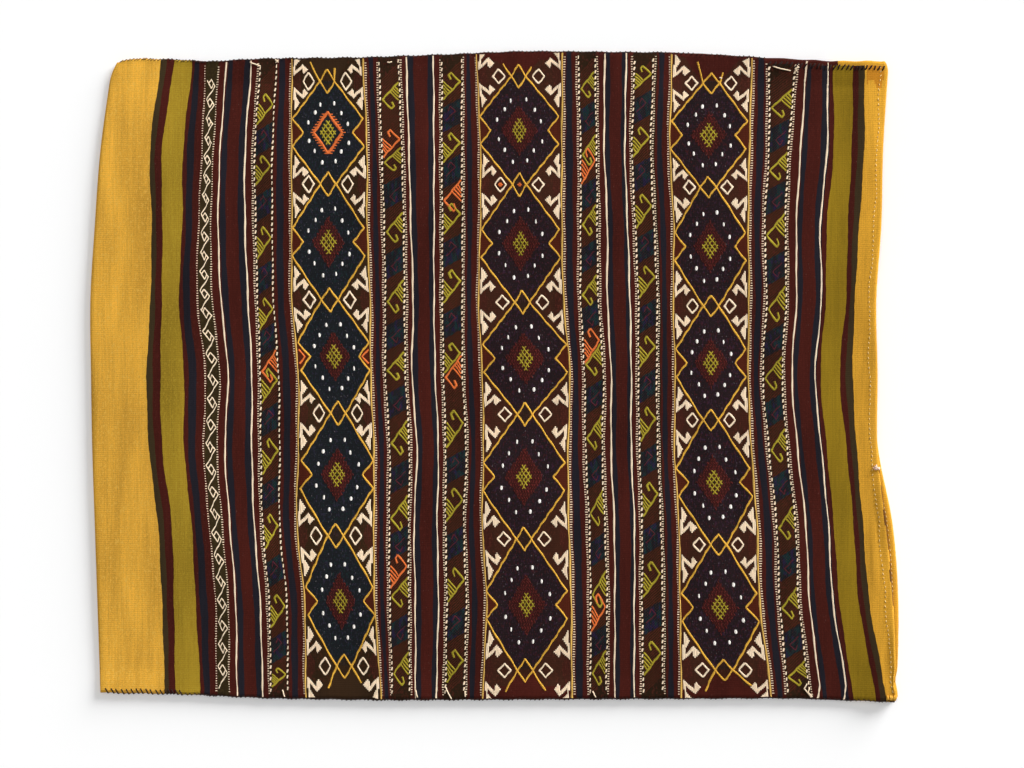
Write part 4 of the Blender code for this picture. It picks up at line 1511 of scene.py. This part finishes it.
def tube(points, radii):
    """Vertices and faces of a closed tube along points, with a radius at each."""
    points = np.array(points, float)
    radii = np.broadcast_to(np.asarray(radii, float), len(points))
    tangent = np.gradient(points, axis=0)
    tangent /= np.linalg.norm(tangent, axis=1)[:, None]
    steep = abs(tangent[:, 2]).max() >= STEEP
    side = np.cross(tangent, (1.0, 0.0, 0.0) if steep else (0.0, 0.0, 1.0))
    side /= np.linalg.norm(side, axis=1)[:, None]
    up = np.cross(side, tangent)
    turns = np.arange(TUBE_SIDES) * 2.0 * math.pi / TUBE_SIDES
    rings = (points[:, None] + radii[:, None, None]
             * (side[:, None] * np.cos(turns)[:, None] + up[:, None] * np.sin(turns)[:, None]))
    faces = [tuple(range(TUBE_SIDES))[::-1]]
    for ring_number in range(len(points) - 1):
        base = ring_number * TUBE_SIDES
        for turn in range(TUBE_SIDES):
            after = (turn + 1) % TUBE_SIDES
            faces.append((base + turn, base + after, base + after + TUBE_SIDES,
                          base + turn + TUBE_SIDES))
    last = (len(points) - 1) * TUBE_SIDES
    faces.append(tuple(last + turn for turn in range(TUBE_SIDES)))
    return rings.reshape(-1, 3), faces


def tubes_mesh(name, tubes, wool_name):
    """Several tubes as one mesh."""
    points, faces, base = [], [], 0
    for tube_points, tube_faces in tubes:
        points.append(tube_points)
        faces += [tuple(base + corner for corner in face) for face in tube_faces]
        base += len(tube_points)
    mesh = bpy.data.meshes.new(name)
    mesh.from_pydata(np.concatenate(points).tolist(), [], faces)
    mesh.materials.append(WOOLS[wool_name])
    mesh.polygons.foreach_set("use_smooth", [len(face) == 4 for face in faces])
    return mesh


print(TUBE_SIDES, "points round each thread")

# %% [markdown]
# ## The knotted corner
#
# A few thick turns of the cloth's own yellow wool close the lower corner of the mouth. Each
# runs from the front over the side, and thins at both ends.

# %% Corner knots
CORNER_KNOTS = (1.222, 1.230, 1.237, 1.244, 1.250)
KNOT_REACH = 0.0100
KNOT_OUT = 0.0008
KNOT_RADIUS = 0.0022
KNOT_LEAN = 0.004
KNOT_RISE = 0.0011
KNOT_DROP = 0.0060


def corner_knot(distance):
    """A thick turn of the cloth's own yellow wool over the lower corner of the mouth."""
    edge = float(side_edges(distance)[0])
    shares = np.linspace(0.0, 1.0, 7)
    y = edge + KNOT_REACH * (1.0 - shares) - KNOT_OUT * shares
    rise = KNOT_RISE * np.sin(math.pi * np.minimum(shares + 0.1, 1.0)) - KNOT_DROP * shares ** 4
    return tube(on_front(distance - KNOT_LEAN * shares, y, rise),
                KNOT_RADIUS * np.sin(math.pi * (0.15 + 0.7 * shares)))


knots = show("corner_knots", tubes_mesh("knots", [corner_knot(place) for place in CORNER_KNOTS],
                                        "yellow"))
print(len(CORNER_KNOTS), "turns at the corner")

# %% [markdown]
# ## The overcast sides
#
# Dark two-ply yarn goes round both layers and leans a little with each turn. Each turn is a
# C-shaped path from the front to the back. At the lower end of the fold the yarn is thicker
# and reaches farther in.

# %% Turns of yarn
YARN_RADIUS = 0.0007
FOLD_YARN = 0.0011
UPPER_REACH = 0.0024
LOWER_REACH = 0.0060
LOWER_REACH_END = 0.120
OVERCAST_LEAN = 0.0050


def uneven(distance):
    """A hand never reaches equally far: a factor that varies from stitch to stitch."""
    return 1.0 + 0.12 * math.sin(distance * 900.0)


def at_thick_end(distance, side):
    return side == -1 and distance < LOWER_REACH_END


def overcast_turn(distance, side):
    """One turn of yarn round both layers at one side, from the front to the back."""
    edge = float(side_edges(distance)[0 if side == -1 else 1])
    reach = LOWER_REACH if at_thick_end(distance, side) else UPPER_REACH
    inner = edge - side * reach * uneven(distance)
    top = float(front_height(distance, edge)) + YARN_RADIUS
    inner_top = float(front_height(distance, inner)) + YARN_RADIUS * 0.6
    x = float(front_x(distance, edge))
    bottom = SEAM_LIFT - YARN_RADIUS
    outer = edge + side * YARN_RADIUS
    middle = (top + bottom) / 2.0
    places = ((inner, inner_top - 0.0009, -0.5), (inner + side * 0.0008, inner_top, -0.42),
              (edge - side * 0.001, top, 0.1), (outer, top - 0.0012, 0.24),
              (outer + side * 0.0002, middle, 0.35), (outer, bottom + 0.0012, 0.46),
              (edge - side * 0.001, bottom, 0.6), (inner, bottom, 1.1),
              (inner - side * 0.0006, bottom + 0.0009, 1.2))
    return [(x + OVERCAST_LEAN * shift, y, z) for y, z, shift in places]


print("a turn of yarn passes", len(overcast_turn(0.5, 1)), "places")

# %% [markdown]
# ## The wrapped edge
#
# Where the back's edge is drawn over the front's, the yarn doesn't go round. Thick slanting
# stitches lie on the front instead, and hold the edge down.

# %% Sew both sides
OVERCAST_PITCH = 0.0068
OVERCAST_START = 0.010
OVERCAST_END = LENGTH - 0.006
OVERCAST_SWAY = 0.0008
WRAP_YARN_RADIUS = 0.0012
WRAP_STITCH = (0.0062, 0.0145)
WRAP_RISES = np.array((-0.0012, 0.0008, 0.0014, 0.0014, 0.0008, -0.0012))


def wrap_stitch(distance):
    """One slanting stitch that holds the wrapped edge down on the front."""
    edge = float(side_edges(distance)[1])
    near, far = WRAP_STITCH
    shares = np.linspace(0.0, 1.0, len(WRAP_RISES))
    y = edge - far + (far - near) * shares * uneven(distance)
    return on_front(distance + OVERCAST_LEAN * (shares - 0.5), y, WRAP_RISES)


def side_yarn(side):
    """All the turns of one side; the wrapped edge has stitches on the front instead."""
    tubes = []
    for index, distance in enumerate(np.arange(OVERCAST_START, OVERCAST_END, OVERCAST_PITCH)):
        distance += OVERCAST_SWAY * math.sin(57.0 * index)
        if side == 1 and distance > WRAP_START:
            tubes.append(tube(wrap_stitch(distance), WRAP_YARN_RADIUS))
        else:
            radius = FOLD_YARN if at_thick_end(distance, side) else YARN_RADIUS
            tubes.append(tube(overcast_turn(distance, side), radius))
    return tubes


for side, name in ((1, "upper_side_seam_yarn"), (-1, "lower_side_seam_yarn")):
    tubes = side_yarn(side)
    seam = show(name + "_dressed", tubes_mesh(name, tubes, "yarn"))
    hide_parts(name)
    print(name, len(tubes), "turns")

# %% [markdown]
# ## The stitching of the hems
#
# Pale running stitches hold both hems. Each is a dash of thread that dips into the cloth at
# both ends, and the line of them sways a little, as a hand sews it.

# %% Running stitches of the two hems
HEM_STITCH_INSET = 0.0135
BACK_STITCH_INSET = 0.0090
RUNNING_PITCH = 0.0075
RUNNING_ENDS = (-0.505, 0.498)
RUNNING_HALF = 0.0018
RUNNING_RADIUS = 0.00055
RUNNING_RISES = (-0.0008, 0.00035, 0.0006, 0.00035, -0.0008)


def running_stitches(name, place):
    """Small dashes of pale thread that dip into the cloth at both ends."""
    tubes = []
    for y in np.arange(*RUNNING_ENDS, RUNNING_PITCH):
        y = y + 0.0012 * math.sin(y * 900.0)
        half = RUNNING_HALF + 0.0005 * math.sin(y * 1300.0)
        steps = np.linspace(-half, half, len(RUNNING_RISES))
        points = [place(y + step, rise) for step, rise in zip(steps, RUNNING_RISES)]
        tubes.append(tube(points, RUNNING_RADIUS))
    piece = show(name, tubes_mesh(name, tubes, "pale"))
    print(name, len(tubes), "stitches")
    return piece


def on_front_hem(y, rise):
    """The line of stitches on the front's hem, which sways as it was sewn by hand."""
    inset = HEM_STITCH_INSET + 0.0012 * math.sin(y * 60.0) + 0.0007 * math.sin(y * 730.0)
    return on_front(LENGTH - inset, y, rise)


def on_back_hem(y, rise):
    distance = LENGTH - BACK_STITCH_INSET
    height = float(seam_lift(distance, y)) + 2.0 * HEM_RADIUS + rise
    return np.array([float(back_x(distance, y)), y, height])


hem_stitches = [running_stitches("front_hem_stitching", on_front_hem),
                running_stitches("back_hem_stitching", on_back_hem)]

# %% [markdown]
# ## The tuft at the mouth
#
# One tuft of pinkish thread ties the two lips together. Three strands go round the front lip
# and down to the back one, and the tails of the knot lie on top.

# %% The tuft
TACK_Y = -0.149
STRAND_OFFSETS = (-0.0011, 0.0, 0.0012)
STRAND_RADIUS = 0.0008
STRAND_GAP = 0.0009
STRAND_TURN = (-0.5, 1.7)
TAIL_RADIUS = 0.0015
TAIL_INSET = 0.004
TAIL_RISES = (0.0012, 0.0022)
# Direction of each tail in radians, and its length
TAILS = ((-0.9, 0.005), (-0.3, 0.007), (0.3, 0.006), (0.9, 0.006), (2.4, 0.004), (3.3, 0.004))


def strand(lip, offset):
    """A strand round the front lip and down to the back lip."""
    bend = lip - np.array([HEM_RADIUS, 0.0, HEM_RADIUS])
    around = HEM_RADIUS + STRAND_GAP
    arc = [bend + np.array([math.sin(angle) * around, offset, math.cos(angle) * around])
           for angle in np.linspace(*STRAND_TURN, 9)]
    arc.append(np.array([bend[0] + around, TACK_Y + offset, 2.0 * HEM_RADIUS + 0.001]))
    return tube(arc, STRAND_RADIUS)


def tail(lip, turn, length):
    """A tail of the knot, which curls as it runs out and lies down at its end."""
    low, high = TAIL_RISES
    steps = np.linspace(0.0, 1.0, 7)
    points = [lip + np.array([-TAIL_INSET - length * step * math.cos(turn + 0.5 * step),
                              length * step * math.sin(turn + 0.5 * step),
                              low + high * math.sin(math.pi * min(step + 0.15, 1.0))])
              for step in steps]
    return tube(points, TAIL_RADIUS * (1.0 - 0.35 * steps))


lip_point = on_front(LENGTH, TACK_Y)
tufts = [strand(lip_point, offset) for offset in STRAND_OFFSETS]
tufts += [tail(lip_point, turn, length) for turn, length in TAILS]
tack = show("mouth_tack_thread_dressed", tubes_mesh("mouth_tack", tufts, "pink"))
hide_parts("mouth_tack_thread")
print(len(tufts), "threads in the tuft")

# %% [markdown]
# ## Loose ends
#
# Where a new ivory weft was begun, its end was left hanging at the side. They are part of
# the weave, so they lie on the cloth as short soft threads.

# %% Loose ivory ends
END_RADIUS = 0.0010
END_RISES = (0.0006, 0.0008)
# Places of each thread: distance from the fold in millimetres, and height in metres
LOOSE_ENDS = (
    ((254, 0.5010), (262, 0.4975), (270, 0.4945)), ((296, 0.5050), (303, 0.5005)),
    ((297, 0.5000), (303, 0.5045)), ((1076, 0.4945), (1082, 0.4915), (1098, 0.4870)),
    ((1104, 0.4960), (1108, 0.4925), (1103, 0.4900), (1106, 0.4865)),
    ((484, 0.5010), (487, 0.5000), (491, 0.5015)), ((1002, 0.4760), (1005, 0.4745)),
    ((289, -0.5040), (292, -0.5150)), ((513, -0.5040), (516, -0.5160)),
    ((563, -0.5000), (566, -0.5080), (572, -0.5190)),
    ((594, -0.5060), (595, -0.5150)), ((792, -0.5060), (797, -0.5160)),
    ((1101, -0.4940), (1097, -0.5020), (1101, -0.5090), (1105, -0.5160)),
    ((1104, -0.5010), (1101, -0.5080), (1107, -0.5150)),
)


def loose_end(route):
    """A soft thread through a few places on the front, a little proud of it."""
    route = np.array(route, float)
    share = np.linspace(0.0, len(route) - 1.0, 4 * len(route))
    distance = np.interp(share, np.arange(len(route)), route[:, 0] * MM)
    y = np.interp(share, np.arange(len(route)), route[:, 1])
    low, high = END_RISES
    rise = low + high * np.sin(np.linspace(0.0, math.pi, len(share)))
    return tube(on_front(distance, y, rise), END_RADIUS)


ends = show("loose_ivory_ends", tubes_mesh("ends", [loose_end(route) for route in LOOSE_ENDS],
                                           "ivory"))
print(len(LOOSE_ENDS), "loose ends")

# %% [markdown]
# Unfolded, the cloth is as wide as the bag. Its length is that of the front and the back,
# both hems with their turns, and the half circle round the fold.

# %% [markdown]
# ## Floor, light and camera
#
# The bag lies on a white floor. The floor shows the camera a white of its own on top of what
# the lamps give it, so it reads as white paper while the shadow stays. The world does the
# same: it is white to the eye, and much weaker as a light.

# %% Floor and world
FLOOR_SIZE = 12.0
FLOOR_GLOW = 0.12
FLOOR_LEVEL = -0.0003
WORLD_LIGHT = 0.26


def seen_rays(tree):
    """1 where the eye looks straight, or through gloss or glass, and 0 for other light."""
    rays = tree.nodes.new("ShaderNodeLightPath")
    seen = rays.outputs["Is Camera Ray"]
    for kind in ("Is Glossy Ray", "Is Transmission Ray"):
        either = add(tree, "ShaderNodeMath", {"operation": "MAXIMUM"})
        tree.links.new(seen, either.inputs[0])
        tree.links.new(rays.outputs[kind], either.inputs[1])
        seen = either.outputs[0]
    return seen


def floor_material():
    """Matt white with a glow that only the eye sees."""
    material = bpy.data.materials.new("white_floor")
    material.use_nodes = True
    tree = material.node_tree
    shader = tree.nodes["Principled BSDF"]
    shader.inputs["Base Color"].default_value = (0.90, 0.90, 0.90, 1.0)
    shader.inputs["Roughness"].default_value = 0.9
    shader.inputs["Specular IOR Level"].default_value = 0.0
    glow = add(tree, "ShaderNodeMath", {"operation": "MULTIPLY"}, {1: FLOOR_GLOW})
    tree.links.new(seen_rays(tree), glow.inputs[0])
    shader.inputs["Emission Color"].default_value = (1.0, 1.0, 1.0, 1.0)
    tree.links.new(glow.outputs[0], shader.inputs["Emission Strength"])
    return material


def white_world(strength):
    """White to the eye, and a weak even light on the bag."""
    world = bpy.data.worlds.new("studio")
    bpy.context.scene.world = world
    world.use_nodes = True
    tree = world.node_tree
    background = tree.nodes["Background"]
    background.inputs["Color"].default_value = (1.0, 1.0, 1.0, 1.0)
    level = add(tree, "ShaderNodeMapRange", inputs={"To Min": strength, "To Max": 1.0})
    tree.links.new(seen_rays(tree), level.inputs["Value"])
    tree.links.new(level.outputs["Result"], background.inputs["Strength"])


floor_mesh = bpy.data.meshes.new("floor")
half = FLOOR_SIZE / 2.0
floor_mesh.from_pydata([(-half, -half, FLOOR_LEVEL), (half, -half, FLOOR_LEVEL),
                        (half, half, FLOOR_LEVEL), (-half, half, FLOOR_LEVEL)], [], [(0, 1, 2, 3)])
floor_mesh.materials.append(floor_material())
floor = bpy.data.objects.new("floor", floor_mesh)
bpy.context.scene.collection.objects.link(floor)
white_world(WORLD_LIGHT)
print("floor of", FLOOR_SIZE, "m, world light", WORLD_LIGHT)

# %% [markdown]
# ## Lamps
#
# A broad soft light comes low from the upper right. It brings out the ribs and leaves a soft
# shadow at the left and below. A weaker one from overhead fills it.

# %% Lamps
def soft_sun(name, toward, strength, spread):
    """A soft distant lamp that shines from the given direction onto the bag."""
    data = bpy.data.lights.new(name, "SUN")
    data.energy = strength
    data.angle = math.radians(spread)
    lamp = bpy.data.objects.new(name, data)
    lamp.rotation_euler = Vector(toward).to_track_quat("Z", "Y").to_euler()
    bpy.context.scene.collection.objects.link(lamp)


soft_sun("key", (0.80, 0.80, 0.215), 7.4, 40.0)
soft_sun("overhead", (-0.10, 0.10, 1.0), 0.82, 50.0)
print("lamps:", [lamp.name for lamp in bpy.data.lights])

# %% [markdown]
# ## Camera
#
# The photo is taken from straight above. The camera stands as high as its lens needs to take
# in the width of the photo at the level of the cloth.

# %% Camera
FRAME_WIDTH = 1.638
FRAME_MIDDLE = (0.0272, -0.0144)
CLOTH_LEVEL = 0.012
LENS = 85.0
SENSOR = 36.0
camera_data = bpy.data.cameras.new("camera")
camera_data.lens = LENS
camera_data.sensor_width = SENSOR
camera = bpy.data.objects.new("camera", camera_data)
camera.location = (*FRAME_MIDDLE, CLOTH_LEVEL + FRAME_WIDTH * LENS / SENSOR)
bpy.context.scene.collection.objects.link(camera)
bpy.context.scene.camera = camera
bpy.context.scene.view_settings.view_transform = "Standard"
print("camera", round(camera.location.z, 3), "m up")
